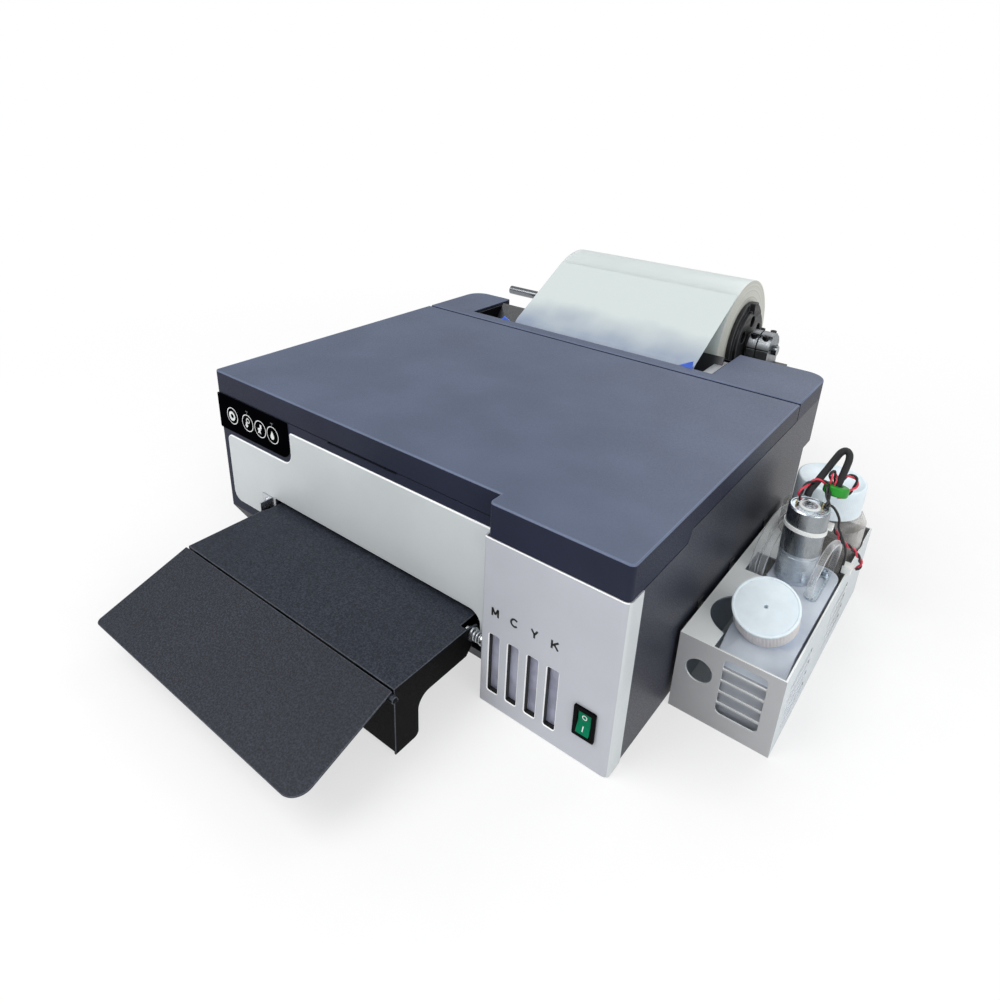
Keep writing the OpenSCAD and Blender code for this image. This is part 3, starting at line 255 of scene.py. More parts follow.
def gloss_abs(name, colour, rough=0.12, gloss=0.3):
    """Polished ABS: a dark mirror with faint long waves from the tool and fine rub marks."""
    return finish(
        name, colour, (0.85, 1.15), (rough, rough + 0.12), 0.02, (14,), (0.8, 2, (9, 1, 1)),
        IOR=1.5, Specular_IOR_Level=gloss,
    )


def powder_coat(name, colour, rough=0.42, peel=2.2):
    """Sprayed and baked powder on steel: an even satin skin with orange peel about 2 mm across."""
    return finish(
        name, colour, (0.955, 1.02), (rough - 0.05, rough + 0.08), 0.04, (60, 4), (peel, 1),
        (peel, 1), IOR=1.5, Coat_Weight=0.12, Coat_Roughness=0.3,
    )


def wrinkle_coat(name, colour, crest_highlight, gloss=0.2):
    """Black texture powder on steel: a sandy skin whose crests of about 0.4 mm catch the light,
    which is painted on them in the lighter crest_highlight colour as a painted highlight; the
    crests are drawn at 1.1 mm so that they show."""
    material, tree, shader = new_finish(name, IOR=1.5, Specular_IOR_Level=gloss)
    sand = grain(tree, 1.1 * MM, detail=4, roughness=0.7)
    cloud = grain(tree, 70 * MM, detail=3)
    # The crests take the lighter colour: a painted highlight
    crests = ramp(tree, sand, colour, crest_highlight, (0.42, 0.72))
    dull = add_node(tree, "ShaderNodeMath", {0: cloud, 1: 0.55}, operation="MULTIPLY")
    # The mix node's factor and its two colours
    mixed = {0: dull.outputs[0], 6: crests, 7: shade(colour, 1.25)}
    # Lighter cloudy patches go over the painted crest highlights
    wear_and_highlight = add_node(tree, "ShaderNodeMix", mixed, data_type="RGBA")
    tree.links.new(wear_and_highlight.outputs[2], shader.inputs["Base Color"])
    vary(tree, shader, "Roughness", sand, 0.46, 0.62)
    emboss(tree, shader, sand, 0.16 * MM)
    return material


def moulded_polypropylene(name, colour, rough=0.34):
    """Natural polypropylene: waxy and milky, light goes a little way in and softens the ribs."""
    return finish(
        name, colour, (0.96, 1.03), (rough - 0.05, rough + 0.08), 0.03, (9,), (1.2,), IOR=1.49,
        Subsurface_Weight=0.35, Subsurface_Radius=(0.004, 0.004, 0.004), Subsurface_Scale=0.6,
    )


def blown_polyethylene(name, colour, thin=0.9, thick=1.05):
    """Blow-moulded polyethylene tank: cloudy, uneven wall that glows where light passes through;
    thin and thick are how dark and how light its clouds are."""
    return finish(
        name, colour, (thin, thick), (0.28, 0.42), 0.25, (22, 3), (2,), IOR=1.51,
        Subsurface_Weight=0.6, Subsurface_Radius=(0.01, 0.01, 0.012), Subsurface_Scale=1.0,
    )


def clear_plastic(name, colour, rough, wave, depth, face, rim):
    """Clear PET or vinyl: almost nothing is seen straight through it, and it closes up to a pale
    edge where the wall is seen along its length; slow waves of a blown or drawn wall. face and
    rim are how much of the wall shows in the middle and at the edge."""
    material = finish(
        name, colour, (0.94, 1), (rough, rough + 0.05), depth, (wave,), IOR=1.5,
        Specular_IOR_Level=0.8,
    )
    tree = material.node_tree
    turn = add_node(tree, "ShaderNodeLayerWeight", {"Blend": 0.35}).outputs["Facing"]
    inputs = {"Value": turn, "From Min": 0.2, "From Max": 0.8, "To Min": face, "To Max": rim}
    wall = add_node(tree, "ShaderNodeMapRange", inputs)
    tree.links.new(wall.outputs[0], tree.nodes["Principled BSDF"].inputs["Alpha"])
    return material


def drawn_steel(name, colour, rough=0.3, stretch=(14, 14, 1), line=0.5, metal=1.0):
    """Rolled or drawn steel under a thin plating: grey mirror, broken by fine lines that follow
    the draw, about 0.1 mm apart and drawn at 0.5 mm so that they show."""
    lines = (line, 3, stretch)
    return finish(
        name, colour, (0.82, 1.12), (rough - 0.08, rough + 0.14), 0.006, (16, 3), lines, lines,
        Metallic=metal,
    )


def cast_metal(name, colour, rough=0.42):
    """Aluminium, cast and then milled: soft grey with a slight pebble."""
    return finish(
        name, colour, (0.88, 1.1), (rough - 0.1, rough + 0.12), 0.03, (8,), (1, 3), (1, 3),
        Metallic=1.0,
    )


def filled_nylon(name, colour, rough=0.5):
    """Glass-filled nylon: matt black with pale flow marks from the gate."""
    return finish(
        name, colour, (0.8, 1.35), (rough - 0.08, rough + 0.1), 0.04, (5, 4, (1, 3, 1)),
        raised=(0.9,), IOR=1.53,
    )


def soft_rubber(name, colour):
    """Moulded rubber: very matt, dusty, with a fine open pore."""
    return finish(
        name, colour, (0.85, 1.2), (0.7, 0.9), 0.05, (0.8, 4), IOR=1.52, Sheen_Weight=0.15
    )


def coated_film(name, colour, low_shade, low, high, glow=0.0):
    """Release-coated PET film: milky white with a soft sheen. Between the heights low and high its
    colour runs from low_shade up to colour: a painted shade lower down. glow is how far light
    travels on in the many layers of a roll."""
    material, tree, shader = new_finish(
        name, IOR=1.5, Specular_IOR_Level=0.4, Coat_Weight=0.1, Coat_Roughness=0.3,
        Subsurface_Weight=glow, Subsurface_Radius=(1.0, 1.0, 1.0), Subsurface_Scale=30 * MM,
    )
    place = object_point(tree)
    height = add_node(tree, "ShaderNodeSeparateXYZ", {"Vector": place}).outputs["Z"]
    cloud = grain(tree, 45 * MM)
    uneven = {0: cloud, 1: 20 * MM, 2: height}
    lift = add_node(tree, "ShaderNodeMath", uneven, operation="MULTIPLY_ADD").outputs[0]
    span = add_node(tree, "ShaderNodeMapRange", {"Value": lift, "From Min": low, "From Max": high})
    vary(tree, shader, "Base Color", span.outputs[0], low_shade, colour, (0.05, 0.95))
    vary(tree, shader, "Roughness", cloud, 0.34, 0.44)
    emboss(tree, shader, cloud, 0.02 * MM)
    return material


def film_edges(name, colour, axis, spacing):
    """The cut edges of the wound film: fine rings about the axis, some darker where the winding
    changed."""
    material, tree, shader = new_finish(name, IOR=1.5, Roughness=0.55)
    place = object_point(tree)
    offset = {0: place, 1: (0, -axis[0], -axis[1])}
    moved = add_node(tree, "ShaderNodeVectorMath", offset, operation="ADD").outputs[0]
    scale = {0: moved, 1: (0, 1 / spacing, 1 / spacing)}
    flat = add_node(tree, "ShaderNodeVectorMath", scale, operation="MULTIPLY").outputs[0]
    radius = add_node(tree, "ShaderNodeVectorMath", {0: flat}, operation="LENGTH").outputs["Value"]
    line = add_node(tree, "ShaderNodeCombineXYZ", {"X": radius}).outputs[0]
    noise = {"Vector": line, "Scale": 1.0, "Detail": 4.0}
    rings = add_node(tree, "ShaderNodeTexNoise", noise).outputs["Fac"]
    vary(tree, shader, "Base Color", rings, shade(colour, 0.68), shade(colour, 1.1), (0.3, 0.62))
    emboss(tree, shader, rings, 0.15 * MM)
    return material


def printed_ink(name, colour):
    """Screen-printed ink: flat and opaque, with a slightly uneven edge of colour."""
    return finish(name, colour, (0.92, 1), (0.45, 0.55), 0, (1.5,), IOR=1.5)


def lead_sleeve(name, colour, rough=0.4):
    """PVC-insulated copper lead: soft satin with slight drag marks along it."""
    return finish(
        name, colour, (0.85, 1.12), (rough - 0.08, rough + 0.1), 0.03, (1.1, 3), IOR=1.53
    )


def braided_sleeve(name, colour, pitch):
    """Braided polyester sleeve: two sets of strands cross around the cable and leave small
    diamonds. The weave is laid out along the sleeve's own length and girth."""
    material, tree, shader = new_finish(name, IOR=1.55)
    place = add_node(tree, "ShaderNodeTexCoord").outputs["UV"]
    sets = []
    for turn in (0.7, -0.7):
        lay = {"Vector": place, "Rotation": (0, 0, turn), "Scale": (pitch,) * 3}
        laid = add_node(tree, "ShaderNodeMapping", lay).outputs[0]
        wave = add_node(
            tree, "ShaderNodeTexWave", {"Vector": laid, "Scale": 1.0}, wave_profile="SIN"
        )
        sets.append(wave.outputs["Fac"])
    both = add_node(tree, "ShaderNodeMath", dict(enumerate(sets)), operation="MAXIMUM").outputs[0]
    vary(tree, shader, "Base Color", both, shade(colour, 0.45), shade(colour, 1.9), (0.3, 1))
    vary(tree, shader, "Roughness", both, 0.75, 0.45, (0.2, 0.9))
    emboss(tree, shader, both, 0.3 * MM)
    return material


def circuit_board(name, colour, copper):
    """Glass-epoxy board under green solder resist: paler lines where the copper runs beneath."""
    material, tree, shader = new_finish(name, IOR=1.5, Coat_Weight=0.3)
    inputs = {
        "Vector": object_point(tree), "Color1": colour,
        "Color2": shade(colour, 0.8), "Mortar": copper, "Scale": 1 / (9 * MM), "Mortar Size": 0.04,
    }
    tracks = add_node(tree, "ShaderNodeTexBrick", inputs)
    tree.links.new(tracks.outputs["Color"], shader.inputs["Base Color"])
    vary(tree, shader, "Roughness", grain(tree, 3 * MM), 0.25, 0.4)
    emboss(tree, shader, tracks.outputs["Fac"], 0.05 * MM)
    return material


def zinc_sheet(name, colour):
    """Hot-dip zinc on folded steel: dull silver with crystal flowers about 8 mm across."""
    material, tree, shader = new_finish(name, Metallic=1.0)
    place = object_point(tree)
    flowers = add_node(tree, "ShaderNodeTexVoronoi", {"Vector": place, "Scale": 1 / (8 * MM)})
    grey = add_node(tree, "ShaderNodeSeparateColor", {"Color": flowers.outputs["Color"]})
    tones = shade(colour, 0.85), shade(colour, 1.1)
    vary(tree, shader, "Base Color", grey.outputs[0], *tones, (0, 1))
    vary(tree, shader, "Roughness", grey.outputs[1], 0.34, 0.5, (0, 1))
    return material


# ---------------------------------------------------------------- piece helpers

# How far a face has to point one way to count as facing that way
MOSTLY = 0.5
SQUARELY = 0.7
# Faces that meet at less than FLAT are one face, and edges over SHARP are rounded
FLAT = math.radians(0.6)
SHARP = math.radians(32)
# Thickness of a printed mark
PRINT = 0.08 * MM


def front_walls(normal, centre):
    """Number of the material of a face: 1 on the walls that face the front, 0 elsewhere."""
    return 1 if normal.y < -SQUARELY else 0


def dress(material, *nodes):
    """Gives CAD nodes their finish."""
    for name in nodes:
        mesh = frame["nodes"][name].data
        mesh.materials.clear()
        mesh.materials.append(material)


def body_of(node):
    return frame["nodes"][node]["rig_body"]


def add_piece(name, mesh, material, body, smooth=35):
    """Shows a mesh as a piece that moves with a CAD body."""
    piece = bpy.data.objects.new(name, mesh)
    bpy.context.scene.collection.objects.link(piece)
    for layer in material if isinstance(material, (list, tuple)) else (material,):
        mesh.materials.append(layer)
    mesh.polygons.foreach_set("use_smooth", [smooth > 0] * len(mesh.polygons))
    if smooth > 0:
        mesh.set_sharp_from_angle(angle=math.radians(smooth))
    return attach(piece, body)


def mesh_of(name, bm):
    """Turns an edited mesh into one that pieces can use, and lets go of it."""
    mesh = bpy.data.meshes.new(name)
    bm.to_mesh(mesh)
    bm.free()
    return mesh


def clean_copy(node):
    """A copy of a CAD node's mesh with each flat face in one piece."""
    bm = bmesh.new()
    bm.from_mesh(frame["nodes"][node].data)
    bmesh.ops.remove_doubles(bm, verts=bm.verts, dist=0.002 * MM)
    bmesh.ops.dissolve_limit(
        bm, angle_limit=FLAT, verts=bm.verts, edges=bm.edges, delimit=set()
    )
    bm.normal_update()
    return bm


def soften(node, name, materials, edge, pick=None, rim=-1, bm=None, only=None, full=False):
    """Stands a piece with rounded edges in for a CAD node. pick(face normal, centre) gives the
    number of the face's material, and rim the number of the rounded edges' own. bm is a changed
    copy of the node's mesh. only(normal) keeps the rounding to the edges of the faces it accepts,
    and full gives every edge its whole radius, for pieces without details finer than that."""
    bm = bm or clean_copy(node)
    for face in bm.faces:
        face.material_index = pick(face.normal, face.calc_center_median()) if pick else 0
    sharp = [
        e for e in bm.edges
        if len(e.link_faces) == 2 and e.calc_face_angle(0) > SHARP
        and (only is None or any(only(face.normal) for face in e.link_faces))
    ]
    bmesh.ops.bevel(
        bm, geom=sharp, offset=edge, segments=2, profile=0.5, affect="EDGES",
        clamp_overlap=not full, material=rim,
    )
    piece = add_piece(name, mesh_of(name, bm), materials, body_of(node), smooth=40)
    weigh = piece.modifiers.new("even shading", "WEIGHTED_NORMAL")
    weigh.keep_sharp = True
    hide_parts(node)
    return piece


def mesh_from(name, verts, faces):
    mesh = bpy.data.meshes.new(name)
    mesh.from_pydata([tuple(v) for v in verts], [], faces)
    mesh.validate()
    bm = bmesh.new()
    bm.from_mesh(mesh)
    bmesh.ops.recalc_face_normals(bm, faces=bm.faces)
    bm.to_mesh(mesh)
    bm.free()
    return mesh


def smooth_line(points, step=1.5 * MM):
    """A smooth line through the points, with a point about every step."""
    points = [Vector(p) for p in points]
    ends = [points[0] * 2 - points[1]] + points + [points[-1] * 2 - points[-2]]
    line = []
    for a, b, c, d in zip(ends, ends[1:], ends[2:], ends[3:]):
        square, cube = 2 * a - 5 * b + 4 * c - d, 3 * b - a - 3 * c + d
        count = max(2, round((c - b).length / step))
        for t in (i / count for i in range(count)):
            line.append(0.5 * (2 * b + (c - a) * t + square * t * t + cube * t ** 3))
    return line + [points[-1]]


def frames_along(line):
    """Pairs of sideways directions that turn as little as they can along the line."""
    heading = [
        (line[min(i + 1, len(line) - 1)] - line[max(i - 1, 0)]).normalized()
        for i in range(len(line))
    ]
    side = heading[0].orthogonal().normalized()
    pairs = []
    for t in heading:
        side = (side - t * side.dot(t)).normalized()
        pairs.append((side.copy(), t.cross(side)))
    return pairs


def tube_mesh(name, line, radius, sides=16):
    """A round tube along the line, closed at its ends, with its length and girth as UV."""
    verts, faces = [], []
    for point, (u, v) in zip(line, frames_along(line)):
        for a in (math.tau * k / sides for k in range(sides)):
            verts.append(point + radius * (u * math.cos(a) + v * math.sin(a)))
    for a in range(0, (len(line) - 1) * sides, sides):
        for k in range(sides):
            m = (k + 1) % sides
            faces.append((a + k, a + m, a + sides + m, a + sides + k))
    last = (len(line) - 1) * sides
    faces += [tuple(range(sides))[::-1], tuple(range(last, last + sides))]
    mesh = bpy.data.meshes.new(name)
    mesh.from_pydata([tuple(v) for v in verts], [], faces)
    uv = mesh.uv_layers.new(name="along")
    step = (line[1] - line[0]).length
    girth = math.tau * radius
    for face in mesh.polygons:
        columns = [mesh.loops[i].vertex_index % sides for i in face.loop_indices]
        wraps = max(columns) - min(columns) > 1
        for i, column in zip(face.loop_indices, columns):
            row = mesh.loops[i].vertex_index // sides
            share = column + (sides if wraps and column == 0 else 0)
            uv.data[i].uv = (row * step, share / sides * girth)
    return mesh


def turned_mesh(name, profile, centre, sides=96, ribs=0):
    """A turned piece: profile is (radius, height) in metres, turned upright about the centre. A
    third number is the depth of the valleys between ribs at that height."""
    verts, faces = [], []
    sides = 4 * ribs or sides
    for r, h, *depth in profile:
        for k in range(sides):
            a = math.tau * k / sides
            cut = depth[0] * (k % 4 in (1, 2)) if depth else 0
            verts.append(centre + Vector(((r - cut) * math.cos(a), (r - cut) * math.sin(a), h)))
    for i in range(len(profile) - 1):
        for k in range(sides):
            m = (k + 1) % sides
            faces.append((i * sides + k, i * sides + m, (i + 1) * sides + m, (i + 1) * sides + k))
    for i in (0, len(profile) - 1):
        faces.append(tuple(i * sides + k for k in range(sides))[:: 1 if i else -1])
    return mesh_from(name, verts, faces)


def flat_mesh(name, shapes, place, thick):
    """Thin raised shapes on a plane. Each shape is a ring of (u, v) points or a pair of rings,
    outer and inner with as many points; place(u, v, w) gives the point w above the plane."""
    verts, faces = [], []
    for shape in shapes:
        rings = shape if isinstance(shape[0][0], (tuple, list)) else (shape,)
        n, base = len(rings[0]), len(verts)
        for w in (0, thick):
            for ring in rings:
                verts += [place(u, v, w) for u, v in ring]
        if len(rings) == 1:
            faces.append(tuple(base + k for k in range(n)))
            faces.append(tuple(base + n + k for k in range(n)))
            for k in range(n):
                m = (k + 1) % n
                faces.append((base + k, base + m, base + n + m, base + n + k))
        else:
            for k in range(n):
                m = (k + 1) % n
                low, high = base, base + 2 * n
                for start in (low, high):
                    faces.append((start + k, start + m, start + n + m, start + n + k))
                for offset in (0, n):
                    faces.append((low + offset + k, low + offset + m, high + offset + m,
                                  high + offset + k))
    return mesh_from(name, verts, faces)


def circle(radius, u=0.0, v=0.0, sides=40):
    """Outline of a circle about the flat point (u, v)."""
    turns = [math.tau * k / sides for k in range(sides)]
    return [(u + radius * math.cos(a), v + radius * math.sin(a)) for a in turns]


def band(points, width):
    """Outline of a line of the given width through flat points."""
    left, right = [], []
    for i, (u, v) in enumerate(points):
        a, b = points[max(i - 1, 0)], points[min(i + 1, len(points) - 1)]
        du, dv = b[0] - a[0], b[1] - a[1]
        size = math.hypot(du, dv)
        left.append((u - dv / size * width / 2, v + du / size * width / 2))
        right.append((u + dv / size * width / 2, v - du / size * width / 2))
    return left + right[::-1]


def box_mesh(name, low, high, edge=0.3 * MM):
    """A block with bevelled edges."""
    bm = bmesh.new()
    bmesh.ops.create_cube(bm, size=1)
    size = high - low
    for v in bm.verts:
        v.co = Vector((v.co.x * size.x, v.co.y * size.y, v.co.z * size.z)) + (low + high) / 2
    bmesh.ops.bevel(bm, geom=bm.edges[:], offset=edge, segments=2, profile=0.5, affect="EDGES")
    return mesh_of(name, bm)


def join_meshes(name, meshes):
    """One mesh out of several."""
    bm = bmesh.new()
    for mesh in meshes:
        bm.from_mesh(mesh)
        bpy.data.meshes.remove(mesh)
    return mesh_of(name, bm)


# ---------------------------------------------------------------- pieces


class PRINTER_OT_casing(bpy.types.Operator):
    """Rounds and finishes the moulded covers, the casing and its feet"""

    bl_idname = "printer.casing"
    bl_label = "Casing"

    def execute(self, context):
        looks = context.scene.printer_casing
        top = spark_textured_abs("spark-textured ABS, slate", looks.slate, 0.47)
        side = spark_textured_abs("spark-textured ABS, charcoal", looks.charcoal, 0.42)
        # A darker copy of the charcoal for the covers' sides and the casing's front walls: painted
        # shade
        skirt = spark_textured_abs(
            "spark-textured ABS, charcoal, painted shade", srgb("#262a3b"), 0.42, 0.08
        )
        # A lighter copy of the slate on the covers' rounded top edges: a painted highlight along
        # the edge
        wear_and_highlight = spark_textured_abs(
            "spark-textured ABS, slate, painted edge highlight", shade(looks.slate, 1.4), 0.4
        )
        # A darker copy of the charcoal for the base pan under the casing: painted shade
        inside = spark_textured_abs(
            "spark-textured ABS, charcoal, painted shade underneath", shade(looks.charcoal, 0.7), 0.6
        )

        # Top faces take the slate; the covers' other faces take the darker copy, a painted shade
        def upper(normal, centre):
            return 0 if normal.z > 0.6 and centre.z > 150 * MM else 1

        for node, name in (("lid", "lid_cover"), ("rear_cover", "rear_top_cover")):
            soften(node, name, (top, skirt, wear_and_highlight), looks.moulded_edge, upper, 2,
                   only=lambda normal: normal.z > 0.8, full=True)
        # The casing's walls that face the front take the darker copy: painted shade
        soften("body_shell", "casing_shell", (side, skirt), 0.8 * MM, front_walls)
        dress(inside, "base_pan")
        dress(soft_rubber("moulded rubber, black", srgb("#1b1b1d")), "feet")
        dress(drawn_steel("drawn steel pin, bright", srgb("#c3c6ca")), "lid_hinge_pins")
        return {"FINISHED"}


class PRINTER_OT_front(bpy.types.Operator):
    """Finishes the sheet panels, the buttons, the switch and the ink tanks, and prints the marks"""

    bl_idname = "printer.front"
    bl_label = "Front panels and marks"

    def execute(self, context):
        looks = context.scene.printer_casing
        marks = context.scene.printer_marks
        coat = powder_coat("powder-coated steel, light grey", looks.panel)
        # A near-white copy of the coat on the sheets' rounded front edges: a painted highlight that
        # outlines the panels
        edge = powder_coat("powder-coated steel, near white, painted edge highlight", srgb("#fafbfc"))
        # A darker, bluer copy of the panel coat for the tank panel's front: painted shade; its bent
        # right side keeps the panel coat
        shaded = powder_coat("powder-coated steel, painted shade on tank panel", srgb("#b8bbc3"))
        black = gloss_abs("polished ABS, black", srgb("#040406"), gloss=0.0)

        def outer(normal):
            return normal.y < -SQUARELY

        soften("front_panel", "front_sheet", (coat, edge), 1.6 * looks.sheet_edge, rim=1,
               only=outer, full=True)
        low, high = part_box("ink_tanks")
        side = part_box("tank_panel")[1].x

        def window_wall(normal, centre):
            if normal.x > MOSTLY and centre.x > side - 1 * MM:
                return 3
            # The walls inside the window cut-outs take the black: painted shade in the recesses
            in_window = low.x < centre.x < high.x and 8 * MM < centre.z < 64 * MM
            return 2 if abs(normal.y) < MOSTLY and in_window else 0

        soften("tank_panel", "tank_sheet", (shaded, edge, black, coat), 1.2 * looks.sheet_edge,
               window_wall, 1, only=outer, full=True)
        soften("control_panel", "button_plate", black, 0.25 * MM)
        white = printed_ink("screen-printed ink, white", srgb("#e9ecec"))
        dim = printed_ink("screen-printed ink, grey", srgb("#6d7075"))
        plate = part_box("control_panel")[0].y
        # How far a button's face lies behind its rim
        sunk = 0.35 * MM
        line = marks.line
        for i in range(1, 5):
            name = f"button_{i}"
            dress(black, name)
            low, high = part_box(name)
            x, z = (low.x + high.x) / 2, (low.z + high.z) / 2

            def on_plate(u, v, w):
                return Vector((x + u, plate + 0.02 * MM - w, z + v))

            def on_button(u, v, w):
                return Vector((x + u, low.y + sunk - w, z + v))

            ring = (circle(marks.ring / 2), circle(marks.ring / 2 - line))
            shape = flat_mesh("ring", [ring], on_plate, PRINT)
            add_piece(f"{name}_ring", shape, white, "chassis", 0)
            shape = flat_mesh("icon", self.icon(i), on_button, 0.4 * MM)
            add_piece(f"{name}_icon", shape, white, body_of(name), 0)
            if i in (2, 4):
                dash = band([(-1.6 * MM, 10.6 * MM), (1.6 * MM, 10.6 * MM)], 0.5 * MM)
                dot = circle(0.5 * MM, 0, 9.2 * MM, 12)
                shape = flat_mesh("tick", [dash, dot], on_plate, PRINT)
                add_piece(f"{name}_tick", shape, dim, "chassis", 0)
        self.letters(marks, printed_ink("screen-printed ink, black", srgb("#060607")))
        self.switch(white)
        return {"FINISHED"}

    def icon(self, i):
        """Plain signs: ring, ring with a downward arrow, sheet with a star, drop."""
        # The signs are drawn on a grid of this size
        m = 1.25 * MM
        if i == 1:
            return [(circle(3.5 * m, 0, 0), circle(1.7 * m, 0.2 * m, 0))]
        if i == 4:
            turns = [math.radians(35 - 250 * k / 20) for k in range(21)]
            drop = [(1.9 * m * math.cos(a), -1.2 * m + 1.9 * m * math.sin(a)) for a in turns]
            return [[(0, 3.2 * m)] + drop]
        if i == 2:
            x, y = 0.9 * m, 2.0 * m
            ring = (circle(1.9 * m, x, y, 24), circle(1.3 * m, x, y, 24))
            arrow = ((-1.6, 0.3), (-0.2, 0.3), (-0.2, -1.6), (0.8, -1.6), (-0.9, -3.6),
                     (-2.6, -1.6), (-1.6, -1.6))
            return [ring, [(u * m, v * m) for u, v in arrow]]
        sheet = ((0.2, 3.6), (2.0, 3.6), (2.0, 0.9), (0.2, 0.9))
        star = ((-2.4, 0.2), (-0.6, 1.0), (1.3, 0), (0.3, -1.4), (1.0, -3.2), (-1.2, -2.6),
                (-2.6, -3.4), (-1.5, -1.3))
        return [[(u * m, v * m) for u, v in shape] for shape in (sheet, star)]

    def letters(self, marks, ink):
        """The four ink colours' letters, one above each window, in strokes of even width."""
        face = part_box("tank_panel")[0].y
        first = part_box("ink_tanks")[0].x + FIRST_WINDOW
        foot = 76.6 * MM
        tall, stroke = marks.letter, marks.letter * 0.23
        half = 0.37 * tall
        turns = [math.radians(42 + 276 * k / 24) for k in range(25)]
        bow = [(0.42 * tall * math.cos(a), tall * (0.5 + 0.44 * math.sin(a))) for a in turns]
        letters = {
            "M": [[(-half, 0), (-half, tall)], [(-half, tall), (0, 0.25 * tall)],
                  [(0, 0.25 * tall), (half, tall)], [(half, tall), (half, 0)]],
            "C": [bow],
            "Y": [[(-half, tall), (0, 0.45 * tall)], [(half, tall), (0, 0.45 * tall)],
                  [(0, 0.5 * tall), (0, 0)]],
            "K": [[(-half, 0), (-half, tall)], [(half, tall), (-half, 0.36 * tall)],
                  [(-0.3 * half, 0.58 * tall), (half, 0)]],
        }
        for i, (letter, lines) in enumerate(letters.items()):
            def on_panel(u, v, w):
                return Vector((first + i * WINDOW_PITCH + u, face + 0.02 * MM - w, foot + v))

            strokes = [band(line, stroke) for line in lines]
            shape = flat_mesh("letter", strokes, on_panel, 0.1 * MM)
            add_piece(f"letter_{letter}", shape, ink, "chassis", 0)

    def switch(self, white):
        """The rocker with its plain ON and OFF marks, and its bezel."""
        bezel = gloss_abs("polished nylon, black", srgb("#050507"), 0.3, 0.03)
        soften("switch_bezel", "switch_frame", bezel, 0.3 * MM)
        green = gloss_abs("moulded polycarbonate, green", srgb("#06704f"), 0.25, 0.05)
        soften("switch_rocker", "rocker_cap", green, 0.25 * MM)
        low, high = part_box("switch_rocker")
        # The rocker's pivot, its tilt at rest, and its two faces that fall away from the middle
        pivot = Vector(((low.x + high.x) / 2, at(0, -10.5, 0).y, 34.7 * MM))
        tilt = Matrix.Rotation(math.radians(-8), 3, "X")
        slope, front, middle = 1.2 / 7.9, 2.7 * MM, 4.1 * MM
        ring = (circle(1.75 * MM, 0, 0, 28), circle(1.2 * MM, 0, 0, 28))
        bar = band([(0, -1.8 * MM), (0, 1.8 * MM)], 0.6 * MM)
        for name, side, shape in (("off_mark", 1, ring), ("on_mark", -1, bar)):
            def on_face(u, v, w):
                v = v + middle
                return pivot + tilt @ Vector((u, 0.05 * MM - front - v * slope - w, side * v))

            mark = flat_mesh(name, [shape], on_face, 0.12 * MM)
            add_piece(name, mark, white, body_of("switch_rocker"), 0)
        self.tanks()

    def tanks(self):
        """Frosted ink tanks, their front walls set back behind black bars that paint the shadow in
        the window recesses.
        """
        ink = blown_polyethylene("moulded polypropylene tank, frosted", srgb("#b3b6d8"), 0.65, 1.25)
        bm = clean_copy("ink_tanks")
        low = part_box("ink_tanks")[0]
        recess = 3 * MM
        for v in bm.verts:
            if v.co.y < low.y + 2 * MM:
                v.co.y += recess
        soften("ink_tanks", "frosted_tanks", ink, 0.3 * MM, bm=bm)
        # Half a window's width, its lower and upper end, and the black bars around it that paint
        # the shadow in its recess
        half, foot, head = 4.15 * MM, 12.8 * MM, 61 * MM
        side, bar, gap = 1.05 * MM, 1.2 * MM, 0.05 * MM
        bars = []
        for i in range(4):
            x = low.x + FIRST_WINDOW + i * WINDOW_PITCH
            for left, lower, right, upper in (
                (x - half - side, foot - bar, x - half, head + bar),
                (x + half, foot - bar, x + half + side, head + bar),
                (x - half, foot - bar, x + half, foot - gap),
                (x - half, head + gap, x + half, head + bar),
            ):
                bars.append(box_mesh("bar", Vector((left, low.y + gap, lower)),
                                     Vector((right, low.y + recess - gap, upper)), gap))
        # Black bars along each window's recess: painted shadow
        painted_shadow = soft_rubber("black, painted shadow in window recesses", srgb("#0c0c0e"))
        shape = join_meshes("window_shadow_bars", bars)
        add_piece("window_shadow_bars", shape, painted_shadow, body_of("ink_tanks"), 0)


class PRINTER_OT_tray(bpy.types.Operator):
    """Finishes the catch tray, its flap and the screws"""

    bl_idname = "printer.tray"
    bl_label = "Tray"

    def execute(self, context):
        looks = context.scene.printer_casing
        coat = wrinkle_coat("texture powder-coated steel, black", srgb("#20232a"), srgb("#4e5563"))
        flap = wrinkle_coat(
            "texture powder-coated steel, black, outer leaf", srgb("#1d2027"), srgb("#4a4f5b")
        )
        # A lighter copy of the coat on the rounded edges of tray and flap: a painted highlight
        edge = wrinkle_coat(
            "texture powder-coated steel, black, painted edge highlight", srgb("#3d4048"), srgb("#6d717b")
        )
        # A near-black copy on every face of the tray that does not face up: painted shade
        shaded_sides = wrinkle_coat(
            "texture powder-coated steel, black, shaded side", srgb("#050506"), srgb("#111114"),
            0.05,
        )
        soften("tray", "catch_tray", (coat, shaded_sides, edge), looks.sheet_edge,
               lambda normal, centre: 0 if normal.z > MOSTLY else 1, 2, full=True)
        soften("tray_flap", "tray_leaf", (flap, edge), looks.sheet_edge, rim=1, full=True)
        bright = drawn_steel("zinc-plated steel screw", srgb("#c9ccd0"), 0.28, (1, 1, 1), 1.0)
        oxide = drawn_steel("black-oxide steel screw", srgb("#2c2d31"), 0.34, (1, 1, 1), 1.0)
        dress(bright, "flap_hinge_pin")
        soften("fixing_screws", "fixing_screw_set", (bright, oxide), 0.15 * MM,
               lambda normal, centre: 1 if centre.z > 150 * MM else 0)
        return {"FINISHED"}


